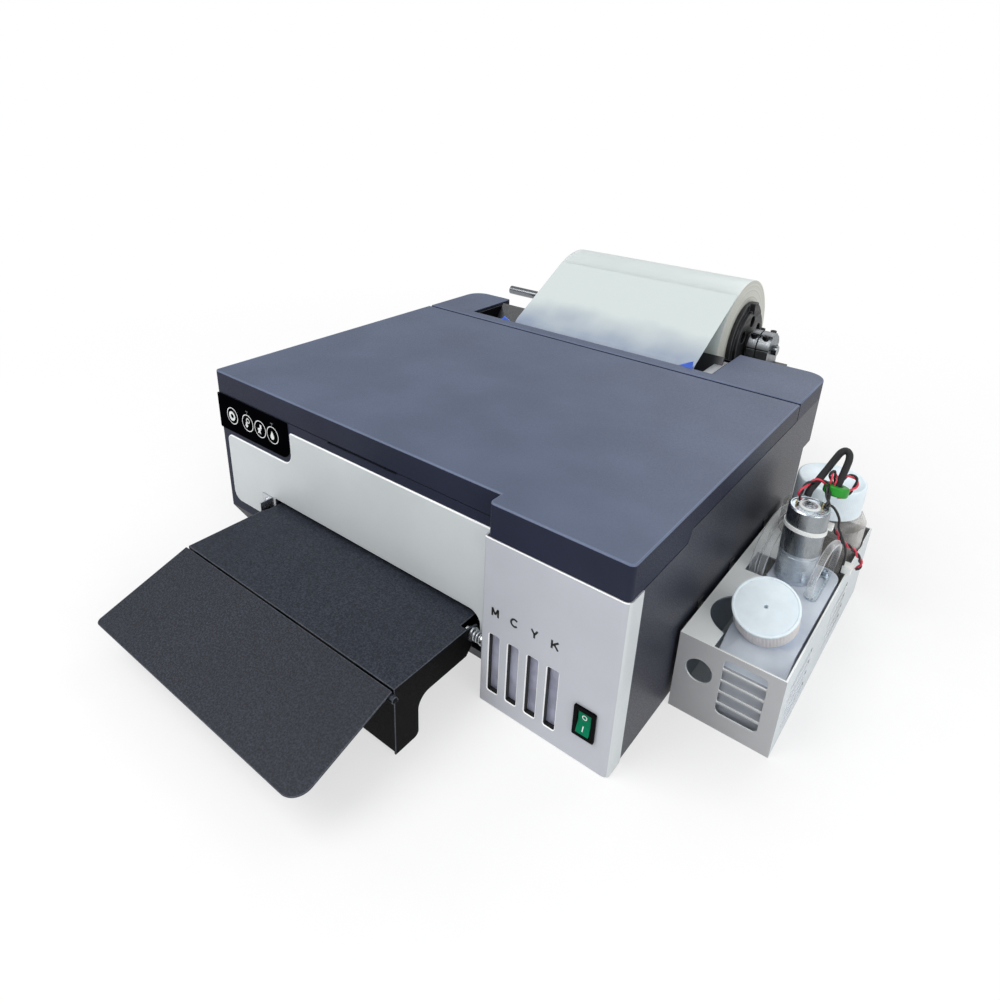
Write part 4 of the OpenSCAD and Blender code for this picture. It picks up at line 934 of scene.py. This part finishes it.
class PRINTER_OT_station(bpy.types.Operator):
    """Finishes the side box, the white ink tank, the bottle and the stirring motor"""

    bl_idname = "printer.station"
    bl_label = "Side ink station"

    def execute(self, context):
        looks = context.scene.printer_casing
        # One grey coat in four copies: darker on the front and inner faces, painted shade; near
        # white on the top and lighter on the right side, painted light; near white on the rounded
        # edges, a painted highlight
        coat = powder_coat("powder-coated steel, painted shade on box front", srgb("#b0b1b4"), 0.5)
        top = powder_coat("powder-coated steel, painted light on box top", srgb("#f0f4f4"), 0.5)
        edge = powder_coat("powder-coated steel, painted highlight on box edges", srgb("#f0f3f7"), 0.5)
        side = powder_coat("powder-coated steel, painted light on box side", srgb("#ccd4d8"), 0.5)

        def face_of_box(normal, centre):
            if normal.z > MOSTLY:
                return 1
            return 3 if normal.x > MOSTLY else 0

        soften("side_box", "station_box", (coat, top, edge, side), looks.sheet_edge, face_of_box, 2)
        dress(filled_nylon("filled nylon, black", srgb("#1c1d20")), "box_clips")
        tank = blown_polyethylene("blow-moulded polyethylene, natural", srgb("#d6e2fa"))
        # A darker grey copy on the walls that face the front, behind the louvres: painted shade
        front = blown_polyethylene(
            "blow-moulded polyethylene, natural, front wall", srgb("#a2a7b2")
        )
        soften("white_ink_tank", "white_tank", (tank, front), 1.2 * MM, front_walls)
        lid = moulded_polypropylene("moulded polypropylene, white", srgb("#e3f0f8"))
        self.caps(lid)
        self.bottle()
        self.motor()
        return {"FINISHED"}

    def caps(self, lid):
        """Ribbed screw caps: a smooth shoulder above a band of fine ribs, and a rim on top."""
        # Each profile starts inside the skirt and ends in the middle of the top
        low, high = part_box("bottle_cap")
        centre = Vector(((low.x + high.x) / 2, (low.y + high.y) / 2, 0))
        r = (high.x - low.x) / 2
        profile = [
            (r - 1.7 * MM, low.z + 16 * MM), (r - 1.7 * MM, low.z), (r - 0.5 * MM, low.z),
            (r, low.z + 0.5 * MM, 0), (r, low.z + 1.2 * MM, 0.14 * MM),
            (r, high.z - 5 * MM, 0.14 * MM),
            (r - 0.05 * MM, high.z - 4.4 * MM, 0), (r - 0.2 * MM, high.z - 1.2 * MM),
            (r - 0.6 * MM, high.z - 0.3 * MM), (r - 1.2 * MM, high.z), (r - 2.0 * MM, high.z),
            (r - 2.6 * MM, high.z - 0.7 * MM), (0.1 * MM, high.z - 0.9 * MM),
        ]
        cap = turned_mesh("bottle_cap_shell", profile, centre, ribs=96)
        shell = add_piece("bottle_cap_shell", cap, lid, body_of("bottle_cap"), 50)
        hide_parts("bottle_cap")
        # The tank's cap stands on a tilted neck, with a small air hole in the middle
        tilt = math.radians(30)
        up = Vector((0, -math.sin(tilt), math.cos(tilt)))
        r, h, ribs_top = 21.1 * MM, 16.6 * MM, 14.6 * MM
        grip = r - 0.5 * MM
        profile = [
            (18.2 * MM, ribs_top), (18.2 * MM, 0.2 * MM), (grip - 0.3 * MM, 0.2 * MM),
            (grip, 0.5 * MM, 0), (grip, 1.2 * MM, 0), (grip, 1.7 * MM, 0.6 * MM),
            (grip, ribs_top - 0.5 * MM, 0.6 * MM), (grip, ribs_top, 0),
            (r, ribs_top + 0.3 * MM), (r, h - 0.5 * MM), (r - 0.25 * MM, h - 0.1 * MM),
            (r - 0.7 * MM, h), (r - 1.3 * MM, h), (r - 1.8 * MM, h - 0.6 * MM),
            (1.4 * MM, h - 0.7 * MM), (1.3 * MM, h - 0.9 * MM), (1.3 * MM, ribs_top),
        ]
        cap = turned_mesh("tank_cap_shell", profile, Vector(), ribs=60)
        # The ribbed band takes a darker warm grey copy of the white: painted shade between the ribs
        for face in cap.polygons:
            side = math.hypot(face.center.x, face.center.y) > grip - 0.7 * MM
            face.material_index = 1 if side and face.center.z < ribs_top + 0.1 * MM else 0
        shaded = moulded_polypropylene("moulded polypropylene, white, painted shade on ribs", srgb("#dad6d4"))
        # The cap's lower edge, up the neck from the point where the neck leaves the tank
        foot = at(245.2, 112.7, 63.2) + up * 9.3 * MM
        cap.transform(Matrix.Translation(foot) @ Matrix.Rotation(tilt, 4, "X"))
        shell = add_piece("tank_cap_shell", cap, (lid, shaded), body_of("tank_cap"), 40)
        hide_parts("tank_cap")

    def bottle(self):
        """The clear bottle and the fluid left in it."""
        pet = clear_plastic("stretch-blown PET, clear", srgb("#dcdad6"), 0.04, 16, 0.12, 0.1, 0.7)
        dress(pet, "clear_bottle")
        low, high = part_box("clear_bottle")
        centre = (low + high) / 2
        r = (high.x - low.x) / 2 - 1.7 * MM
        floor, level = low.z + 1.8 * MM, 44 * MM
        fluid = clear_plastic(
            "cleaning fluid, faint amber", srgb("#b5ada0"), 0.03, 20, 0.0, 0.2, 0.5
        )
        profile = [(0.2 * MM, floor), (r - 2 * MM, floor), (r, floor + 2 * MM), (r, level),
                   (r - 0.6 * MM, level - 0.6 * MM), (0.2 * MM, level - 0.7 * MM)]
        add_piece("bottle_fluid", turned_mesh("fluid", profile, Vector((centre.x, centre.y, 0))),
                  fluid, body_of("clear_bottle"))

    def motor(self):
        """Can, gearbox and end plate of the stirring motor, its terminals and its cable tie."""
        can = drawn_steel("drawn steel can, nickel-plated", srgb("#94999d"), 0.28, (1, 1, 12))
        # The gearbox is the can's steel in a lighter, partly diffuse copy: a painted reflection
        box = drawn_steel("turned steel gearbox, painted reflection", srgb("#c4ccd4"), 0.3, (12, 12, 1), 0.4, 0.86)
        plate = drawn_steel("stamped steel, nickel-plated", srgb("#b9c3cb"), 0.24, (1, 1, 1), 2)
        low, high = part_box("stir_motor")
        top = high.z

        def part(normal, centre):
            if normal.z > MOSTLY and centre.z > top - 6 * MM:
                return 2
            return 1 if centre.z < low.z + 25 * MM else 0

        soften("stir_motor", "motor_can", (can, box, plate), 0.3 * MM, part)
        x, y = (low.x + high.x) / 2, (low.y + high.y) / 2
        r = (high.x - low.x) / 2
        body = body_of("stir_motor")
        # Two brass terminals and the plastic bush around the bearing
        brass = cast_metal("stamped brass, tinned", srgb("#c9b98a"), 0.35)
        tabs = []
        for a in (0.6, 3.4):
            c = Vector((x + 9 * MM * math.cos(a), y + 9 * MM * math.sin(a), top - 1.7 * MM))
            tabs.append(box_mesh("tab", c - Vector((0.4, 1.5, 0)) * MM,
                                 c + Vector((0.4, 1.5, 3.2)) * MM, 0.1 * MM))
        add_piece("motor_tabs", join_meshes("motor_tabs", tabs), brass, body)
        bush = [(5.1 * MM, top - 1.6 * MM), (7.2 * MM, top - 1.6 * MM), (7.2 * MM, top - 0.9 * MM),
                (6.8 * MM, top - 0.6 * MM), (5.1 * MM, top - 0.6 * MM)]
        add_piece("motor_bush", turned_mesh("bush", bush, Vector((x, y, 0)), sides=48),
                  gloss_abs("moulded nylon, white", srgb("#d9dcdc"), 0.3), body)
        tie_height = 106.8 * MM
        self.cable_tie(Vector((x, y, tie_height)), r, body)
        dress(plate, "motor_bracket")
        dress(drawn_steel("ground stainless steel", srgb("#c6c9cc"), 0.22, (1, 1, 9)), "stir_shaft")

    def cable_tie(self, centre, r, body):
        """Cable tie around the can, a little askew, with its head at the right rear."""
        nylon = moulded_polypropylene("moulded nylon, natural", srgb("#f0f2f0"))
        tilt = Matrix.Rotation(math.radians(-4), 3, "X") @ Matrix.Rotation(math.radians(3), 3, "Y")
        # The band's section, as distances from the can's side and from the band's middle
        section = ((0.1, -1.6), (0.1, 1.6), (1.0, 1.4), (1.0, -1.4))
        sides, corners = 72, len(section)
        verts, faces = [], []
        for k in range(sides):
            a = math.tau * k / sides
            for out, rise in section:
                reach = r + out * MM
                p = tilt @ Vector((reach * math.cos(a), reach * math.sin(a), 0))
                flat = Vector((p.x, p.y, 0)).normalized() * reach
                verts.append(centre + Vector((flat.x, flat.y, p.z + rise * MM)))
        for k in range(sides):
            m = (k + 1) % sides
            for j in range(corners):
                n = (j + 1) % corners
                faces.append((corners * k + j, corners * m + j, corners * m + n, corners * k + n))
        add_piece("cable_tie", mesh_from("tie", verts, faces), nylon, body, 30)
        reach, half = r + 2.6 * MM, Vector((2.2, 2.4, 2.4)) * MM
        head = centre + Vector((reach * 0.88, reach * 0.47, 1.0 * MM))
        block = box_mesh("head", head - half, head + half, 0.5 * MM)
        add_piece("cable_tie_head", block, nylon, body)


class PRINTER_OT_leads(bpy.types.Operator):
    """Draws the ink tubes, the sleeved motor cable, the ferrite ring and the twisted leads"""

    bl_idname = "printer.leads"
    bl_label = "Tubes and leads"

    # Routes in millimetres from the middle of the casing's front face
    TUBES = (
        ((222, 169, 1.3), (222, 169, 20), (222, 169, 40), (222, 168, 54), (222.5, 166, 64),
         (223, 165, 71), (224, 168, 82), (225.5, 178, 93), (228, 190, 99), (233, 199, 100),
         (238, 206, 95), (241, 210.5, 86), (242, 213, 74), (242, 214, 60), (242, 214, 40),
         (242, 214, 20), (242, 214, 1.3)),
        ((216, 171, 1.3), (216, 171, 20), (216, 171, 40), (216, 170, 54), (216, 168.5, 64),
         (216.5, 167.5, 72), (218, 171, 86), (220, 182, 98), (224, 194, 105), (230, 204, 106.5),
         (237, 212, 102), (243.5, 216.5, 93), (246.5, 218, 80), (248.5, 218, 66),
         (248.5, 218, 50), (248.5, 218, 30), (248.5, 218, 1.3)),
        ((258.5, 160, 70), (258.5, 164, 75), (258.8, 172, 80.5), (259.3, 180, 85.5),
         (260.5, 190, 89.5), (262, 200, 88.5), (262.5, 208, 82), (262, 212.5, 72),
         (261, 214, 60), (260, 214, 40), (260, 214, 20), (260, 214, 1.3)),
    )
    CABLE = ((237.5, 187.5, 124.2), (238, 189.5, 128.5), (239.5, 195, 132), (241.5, 201, 137),
             (243.8, 206, 143), (246, 209.8, 148.8), (247.8, 212.4, 152.8), (250.4, 214, 154.6),
             (253, 213.8, 153), (254, 212.4, 149.4), (253.8, 210.4, 144.4), (253.2, 207.6, 138),
             (252.5, 205.5, 132.5), (252, 204, 127.5))
    PAIR = ((253.3, 189.8, 107), (257, 193, 103.5), (261, 196, 98), (265, 199, 92),
            (269.5, 202.5, 88), (273.5, 205.5, 84), (277, 208, 79), (279, 210, 74),
            (279, 210.5, 70), (277, 209, 67.5))
    # Up from the motor into the ferrite ring, and twice through it
    LOOP = ((235, 181, 122.8), (233.6, 181.3, 127.2), (235.5, 188, 132.9), (240.3, 195.5, 134.6),
            (245.2, 200, 132.5), (249, 201.5, 129), (248, 202, 133.5), (246.6, 202.5, 138.5),
            (247.5, 204.5, 141), (249.5, 205.5, 136.4), (251, 203.5, 130.5), (253.1, 206.3, 135.1),
            (256.8, 210.7, 137.9), (260.9, 214, 136.4), (262.5, 214, 132), (261.3, 211.7, 128.5),
            (258.3, 206, 124.5), (254, 203, 122.8))
    TAIL = ((248.5, 199, 130), (247.5, 196.5, 131.5), (249.9, 191.3, 127.4), (252, 187, 124),
            (251.5, 183, 122.6))
    LEAD = ((250, 190, 121.5), (254, 191.5, 120.5), (257.2, 191.6, 117.9), (260.5, 192, 112.2),
            (261.5, 193, 105), (265.4, 196, 95.8), (268.5, 200, 85.7), (269, 205, 75),
            (268, 208, 60))

    def execute(self, context):
        looks = context.scene.printer_leads
        vinyl = clear_plastic(
            "extruded vinyl tube, clear", srgb("#f4f7fa"), 0.04, 12, 0.02, 0.12, 0.95
        )
        lines = [smooth_line(route(points)) for points in self.TUBES]
        tubes = [tube_mesh("tube", line, looks.tube / 2, 20) for line in lines]
        shape = join_meshes("ink_tube_set", tubes)
        piece = add_piece("ink_tube_set", shape, vinyl, body_of("ink_tubes"), 60)
        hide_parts("ink_tubes")
        self.elbow()
        sleeve = braided_sleeve("braided polyester sleeve, black", srgb("#131417"), 1 / (2.2 * MM))
        line = smooth_line(route(self.CABLE), 1 * MM)
        piece = add_piece("sleeved_cable", tube_mesh("sleeved_cable", line, 2.5 * MM, 24), sleeve,
                          body_of("motor_cable"), 60)
        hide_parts("motor_cable")
        paint = gloss_abs("epoxy-coated ferrite, green", srgb("#258a28"), 0.3)
        dress(paint, "ferrite_ring")
        housing = moulded_polypropylene("moulded nylon housing, white", srgb("#eef1ee"))
        self.pairs(looks, soften("wire_connector", "lead_connector", housing, 0.2 * MM))
        return {"FINISHED"}

    def elbow(self):
        """Barbed elbow where the right tube enters the tank."""
        foot = at(*self.TUBES[2][0])
        clear = clear_plastic(
            "moulded polypropylene elbow, clear", srgb("#e0e6ea"), 0.12, 3, 0.05, 0.4, 0.95
        )
        tank_top = 63.9 * MM
        profile = [(3.2, 0), (3.2, 1.2), (2.6, 1.4), (2.6, 2.6), (3.1, 2.8), (2.6, 4.2), (3.1, 4.4),
                   (2.5, 5.8), (0.3, 5.9)]
        mesh = turned_mesh("elbow", [(r * MM, tank_top + h * MM) for r, h in profile],
                           Vector((foot.x, foot.y, 0)), sides=32)
        add_piece("tube_elbow", mesh, clear, body_of("ink_tubes"))

    def twisted(self, points, wire, turn, side):
        """One lead of a twisted pair about the points; side is 1 or -1."""
        line = smooth_line(points, 0.8 * MM)
        travelled, out = 0.0, []
        for i, (p, (u, v)) in enumerate(zip(line, frames_along(line))):
            if i:
                travelled += (p - line[i - 1]).length
            a = math.tau * travelled / turn + (0 if side > 0 else math.pi)
            out.append(p + wire * 0.52 * (u * math.cos(a) + v * math.sin(a)))
        return out

    def pairs(self, looks, connector):
        """Red and black leads, twisted together, down to their connector."""
        red = lead_sleeve("PVC-insulated lead, red", looks.red, 0.35)
        black = lead_sleeve("PVC-insulated lead, black", srgb("#18191c"), 0.35)
        pair = route(self.PAIR)
        red_line = self.twisted(pair, looks.wire, looks.twist, 1)
        black_line = self.twisted(pair, looks.wire, looks.twist, -1)
        body = body_of("motor_wires")
        shape = tube_mesh("lead_red", red_line, looks.wire / 2, 10)
        first = add_piece("lead_red", shape, red, body, 60)
        shape = tube_mesh("lead_black", black_line, looks.wire / 2, 10)
        second = add_piece("lead_black", shape, black, body, 60)
        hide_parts("motor_wires")
        body = body_of("stir_motor")
        loop = route(self.LOOP)
        for name, side, colour in (("loop_red", 1, red), ("loop_black", -1, black)):
            line = self.twisted(loop, looks.wire, looks.twist * 1.3, side)
            add_piece(name, tube_mesh(name, line, looks.wire / 2, 10), colour, body, 60)
        tail = route(self.TAIL)
        lines = [self.twisted(tail, looks.wire * 1.2, looks.twist * 2, side) for side in (1, -1)]
        tails = [tube_mesh("tail", line, looks.wire * 0.6, 10) for line in lines]
        add_piece("lead_tails", join_meshes("lead_tails", tails), black, body, 60)
        line = smooth_line(route(self.LEAD), 1 * MM)
        add_piece("lead_down", tube_mesh("lead_down", line, 0.9 * MM, 10), black, body, 60)


class PRINTER_OT_roll(bpy.types.Operator):
    """Finishes the film roll, its hubs, the spindle and its bearings, and the film's run"""

    bl_idname = "printer.roll"
    bl_label = "Film roll"

    def execute(self, context):
        looks = context.scene.printer_film
        # The wound roll is painted a little darker lower down: painted shade
        film = coated_film(
            "release-coated PET film, wound", looks.film, shade(looks.film, 0.93), 0.15, 0.25, 0.7
        )
        # The single layer turns a dark blue lower down: painted shade
        single = coated_film(
            "release-coated PET film, one layer", looks.film, srgb("#64769a"), 0.155, 0.19
        )
        low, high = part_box("film_roll")
        axis = ((low.y + high.y) / 2, (low.z + high.z) / 2)
        ends = film_edges("cut edges of wound film", srgb("#cfd1c8"), axis, looks.ring)

        def end_face(normal, centre):
            return 1 if abs(normal.x) > 0.9 else 0

        soften("film_roll", "wound_roll", (film, ends), 0.4 * MM, end_face)
        dress(single, "film_web")
        board = lead_sleeve("wound paperboard, brown", srgb("#b39a74"), 0.8)
        dress(board, "roll_core")
        hub = filled_nylon("filled nylon, black, hub", srgb("#0d0e10"), 0.5)
        # A lighter copy of the black on the hubs' rounded edges: a painted highlight
        rubbed = filled_nylon("filled nylon, black, painted edge highlight", srgb("#3a3b40"), 0.4)
        soften("roll_hubs", "hub_pair", (hub, rubbed), 0.5 * MM, rim=1)
        chrome = drawn_steel("ground and chromed steel", srgb("#7d8185"), 0.16, (1, 9, 9))
        dress(chrome, "roll_spindle")
        cast = cast_metal("milled aluminium", srgb("#868a8e"), 0.4)
        soften("bearing_blocks", "clamp_blocks", cast, 0.5 * MM)
        coat = powder_coat("powder-coated steel, black", srgb("#202226"), 0.4, 1.6)
        soften("roll_brackets", "bracket_pair", coat, 0.35 * MM)
        self.well()
        return {"FINISHED"}

    def well(self):
        """The feed well, the sloping plate and the blue edge guides."""
        side = spark_textured_abs("spark-textured ABS, black", srgb("#0b0b0e"), 0.5, 0.08)
        # A lighter copy of the black on the well's rounded edges: a painted highlight
        rubbed = spark_textured_abs("spark-textured ABS, black, painted edge highlight", srgb("#474a54"), 0.4)
        strip = powder_coat("powder-coated steel strip, light grey", srgb("#b9bcc2"))
        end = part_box("feed_well")[1].x

        def light_strip(normal, centre):
            inner = 2.6 * MM < end - centre.x < 10 * MM
            return 2 if inner and 147.5 * MM < centre.z < 150.5 * MM else 0

        soften("feed_well", "film_well", (side, rubbed, strip), 0.4 * MM, light_strip, 1)
        shelf = box_mesh("well_strip", at(105, 296, 149), at(112.4, 345, 150), 0.2 * MM)
        add_piece("well_strip", shelf, strip, body_of("feed_well"))
        plate = powder_coat("powder-coated steel plate, black", srgb("#2a2c31"), 0.4, 1.6)
        dress(plate, "support_plate")
        blue = gloss_abs("moulded ABS, blue", srgb("#5b7fee"), 0.3)
        # Each guide is cut back to what shows: the left one to a rail along the sloping plate, the
        # right one to its low end; each has a lip that stands over the film's edge
        slope = math.radians(54)
        square = Vector((0, -math.sin(slope), math.cos(slope)))
        guides = {
            "guide_left": (at(0, 294, 97) + square * 3 * MM, square,
                           [(-124, 141), (-103, 141), (-105, 157), (-112, 160), (-124, 150)]),
            "guide_right": (at(0, 0, 134), Vector((0, 0, 1)),
                            [(86, 141), (101, 141), (101, 163.5), (96, 161), (89, 157)]),
        }
        lip_back = 289.35

        def in_front(u, v, w):
            return at(u, lip_back, v) - Vector((0, w, 0))

        for node, (level, up, outline) in guides.items():
            bm = clean_copy(node)
            cut = bmesh.ops.bisect_plane(
                bm, geom=bm.verts[:] + bm.edges[:] + bm.faces[:], plane_co=level, plane_no=up,
                clear_outer=True,
            )
            edges = [e for e in cut["geom_cut"] if isinstance(e, bmesh.types.BMEdge)]
            bmesh.ops.holes_fill(bm, edges=edges)
            soften(node, f"edge_{node}", blue, 0.3 * MM, bm=bm)
            lip = flat_mesh(f"{node}_lip", [outline], in_front, 1.0 * MM)
            add_piece(f"{node}_lip", lip, blue, body_of(node), 0)


class PRINTER_OT_engine(bpy.types.Operator):
    """Finishes the print engine and the electronics inside the casing"""

    bl_idname = "printer.engine"
    bl_label = "Print engine"

    def execute(self, context):
        zinc = zinc_sheet("hot-dip zinc-coated steel", srgb("#a9aeb3"))
        nylon = filled_nylon("filled nylon, black, frame", srgb("#222428"))
        acetal = moulded_polypropylene("moulded acetal, ivory", srgb("#ddd9cc"), 0.3)
        rubber = soft_rubber("moulded rubber, dark grey", srgb("#2a2b2e"))
        motor = drawn_steel("drawn steel motor can", srgb("#a1a5a8"), 0.3, (9, 1, 9))
        dress(zinc, "main_frame")
        dress(nylon, "platen", "capping_station")
        dress(rubber, "feed_roller", "pinch_rollers", "drive_belt")
        dress(acetal, "feed_gear", "idler_pulley")
        dress(motor, "feed_motor", "carriage_motor")
        dress(cast_metal("turned brass", srgb("#c2a55c"), 0.3), "motor_pinion", "drive_pulley")
        soften("print_carriage", "carriage_block", nylon, 0.5 * MM)
        dress(circuit_board("glass-epoxy board, green resist", srgb("#1c5a36"), srgb("#3f8a55")),
              "electronics")
        dress(gloss_abs("moulded thermoset inlet, black", srgb("#1a1b1e"), 0.3), "mains_inlet")
        return {"FINISHED"}


class PRINTER_OT_stage(bpy.types.Operator):
    """Sets the pale floor, the soft lamps and the camera"""

    bl_idname = "printer.stage"
    bl_label = "Stage"

    def execute(self, context):
        looks = context.scene.printer_stage
        scene = context.scene
        scene.view_settings.view_transform = "Standard"
        self.camera(scene, looks)
        self.floor()
        self.surroundings(scene, looks)
        self.lamp("key", (-0.7, -1.1, 1.7), 1.6, looks.key)
        self.lamp("fill", (1.5, -0.5, 0.9), 1.2, looks.fill)
        self.lamp("rear", (0.2, 1.6, 1.5), 1.8, looks.fill * 1.3)
        return {"FINISHED"}

    def camera(self, scene, looks):
        yaw, pitch, roll = (math.radians(a) for a in (-37.761, -23.767, 1.885))
        level = math.cos(pitch)
        ahead = Vector((math.sin(yaw) * level, math.cos(yaw) * level, math.sin(pitch)))
        right = ahead.cross(Vector((0, 0, 1))).normalized()
        up = right.cross(ahead)
        tilted_right = math.cos(roll) * right + math.sin(roll) * up
        tilted_up = math.cos(roll) * up - math.sin(roll) * right
        data = bpy.data.cameras.new("studio_camera")
        data.sensor_width = 36
        data.lens = looks.lens
        data.shift_x = 0.0146
        data.shift_y = -0.0985
        data.clip_start = 0.01
        camera = bpy.data.objects.new("studio_camera", data)
        turned = Matrix((tilted_right, tilted_up, -ahead)).transposed().to_4x4()
        camera.matrix_world = Matrix.Translation(at(326.64, -305.72, 385.23)) @ turned
        scene.collection.objects.link(camera)
        scene.camera = camera

    def floor(self):
        """Matt white card; straight views see it near white, and the shadow stays on it."""
        mesh = bpy.data.meshes.new("floor")
        half = 12
        corners = [(-half, -half, 0), (half, -half, 0), (half, half, 0), (-half, half, 0)]
        mesh.from_pydata(corners, [], [(0, 1, 2, 3)])
        floor = bpy.data.objects.new("floor", mesh)
        bpy.context.scene.collection.objects.link(floor)
        material = bpy.data.materials.new("matt white card")
        material.use_nodes = True
        tree = material.node_tree
        tree.nodes.clear()
        white = (1, 1, 1, 1)
        fibre = ramp(tree, grain(tree, 30 * MM), 0.86, 0.9, (0, 1))
        card = add_node(tree, "ShaderNodeBsdfDiffuse", {"Color": fibre}).outputs[0]
        bright = add_node(tree, "ShaderNodeEmission", {"Color": white, "Strength": 1.0}).outputs[0]
        path = add_node(tree, "ShaderNodeLightPath").outputs
        direct = path["Is Camera Ray"]
        for ray in ("Is Glossy Ray", "Is Transmission Ray"):
            both = {0: direct, 1: path[ray]}
            direct = add_node(tree, "ShaderNodeMath", both, operation="MAXIMUM").outputs[0]
        # Away from the object the card turns evenly white
        place = object_point(tree)
        away = add_node(tree, "ShaderNodeVectorMath", {0: place}, operation="LENGTH")
        span = {"Value": away.outputs["Value"], "From Min": 0.35, "From Max": 0.95, "To Min": 0.62}
        fade = add_node(tree, "ShaderNodeMapRange", span).outputs[0]
        share = add_node(tree, "ShaderNodeMath", {0: direct, 1: fade}, operation="MULTIPLY")
        mix = add_node(tree, "ShaderNodeMixShader", {0: share.outputs[0], 1: card, 2: bright})
        add_node(tree, "ShaderNodeOutputMaterial", {"Surface": mix.outputs[0]})
        mesh.materials.append(material)

    def surroundings(self, scene, looks):
        world = bpy.data.worlds.new("studio")
        scene.world = world
        world.use_nodes = True
        tree = world.node_tree
        tree.nodes.clear()
        even, seen = (
            add_node(tree, "ShaderNodeBackground", {"Color": (1, 1, 1, 1), "Strength": strength})
            for strength in (looks.world, 1.0)
        )
        seen_by_camera = add_node(tree, "ShaderNodeLightPath").outputs["Is Camera Ray"]
        inputs = {0: seen_by_camera, 1: even.outputs[0], 2: seen.outputs[0]}
        mix = add_node(tree, "ShaderNodeMixShader", inputs)
        add_node(tree, "ShaderNodeOutputWorld", {"Surface": mix.outputs[0]})

    def lamp(self, name, place, size, power):
        data = bpy.data.lights.new(name, "AREA")
        data.shape = "DISK"
        data.size = size
        data.energy = power
        lamp = bpy.data.objects.new(name, data)
        lamp.location = place
        aim = Vector((0.05, 0, 0.08)) - Vector(place)
        lamp.rotation_euler = aim.to_track_quat("-Z", "Y").to_euler()
        bpy.context.scene.collection.objects.link(lamp)


class PRINTER_PT_panel(bpy.types.Panel):
    """Settings and build buttons of the printer"""

    bl_idname = "PRINTER_PT_panel"
    bl_label = "Film Printer"
    bl_space_type = "VIEW_3D"
    bl_region_type = "UI"
    bl_category = "Film Printer"

    def draw(self, context):
        layout = self.layout
        for name, settings in SETTINGS.items():
            box = layout.box()
            box.label(text=name.replace("_", " ").capitalize())
            for key in settings.__annotations__:
                box.prop(getattr(context.scene, name), key)
        for operator in OPERATORS:
            layout.operator(operator.bl_idname)


SETTINGS = {
    "printer_casing": CasingSettings,
    "printer_marks": MarkSettings,
    "printer_leads": LeadSettings,
    "printer_film": FilmSettings,
    "printer_stage": StageSettings,
}
OPERATORS = (
    PRINTER_OT_stage,
    PRINTER_OT_leads,
    PRINTER_OT_casing,
    PRINTER_OT_front,
    PRINTER_OT_tray,
    PRINTER_OT_station,
    PRINTER_OT_roll,
    PRINTER_OT_engine,
)


def register():
    for cls in (*SETTINGS.values(), *OPERATORS, PRINTER_PT_panel):
        bpy.utils.register_class(cls)
    for name, settings in SETTINGS.items():
        setattr(bpy.types.Scene, name, PointerProperty(type=settings))


def unregister():
    for name in SETTINGS:
        delattr(bpy.types.Scene, name)
    for cls in reversed((*SETTINGS.values(), *OPERATORS, PRINTER_PT_panel)):
        bpy.utils.unregister_class(cls)


def main():
    register()
    for operator in OPERATORS:
        group, name = operator.bl_idname.split(".")
        getattr(getattr(bpy.ops, group), name)()


if __name__ == "__main__":
    main()
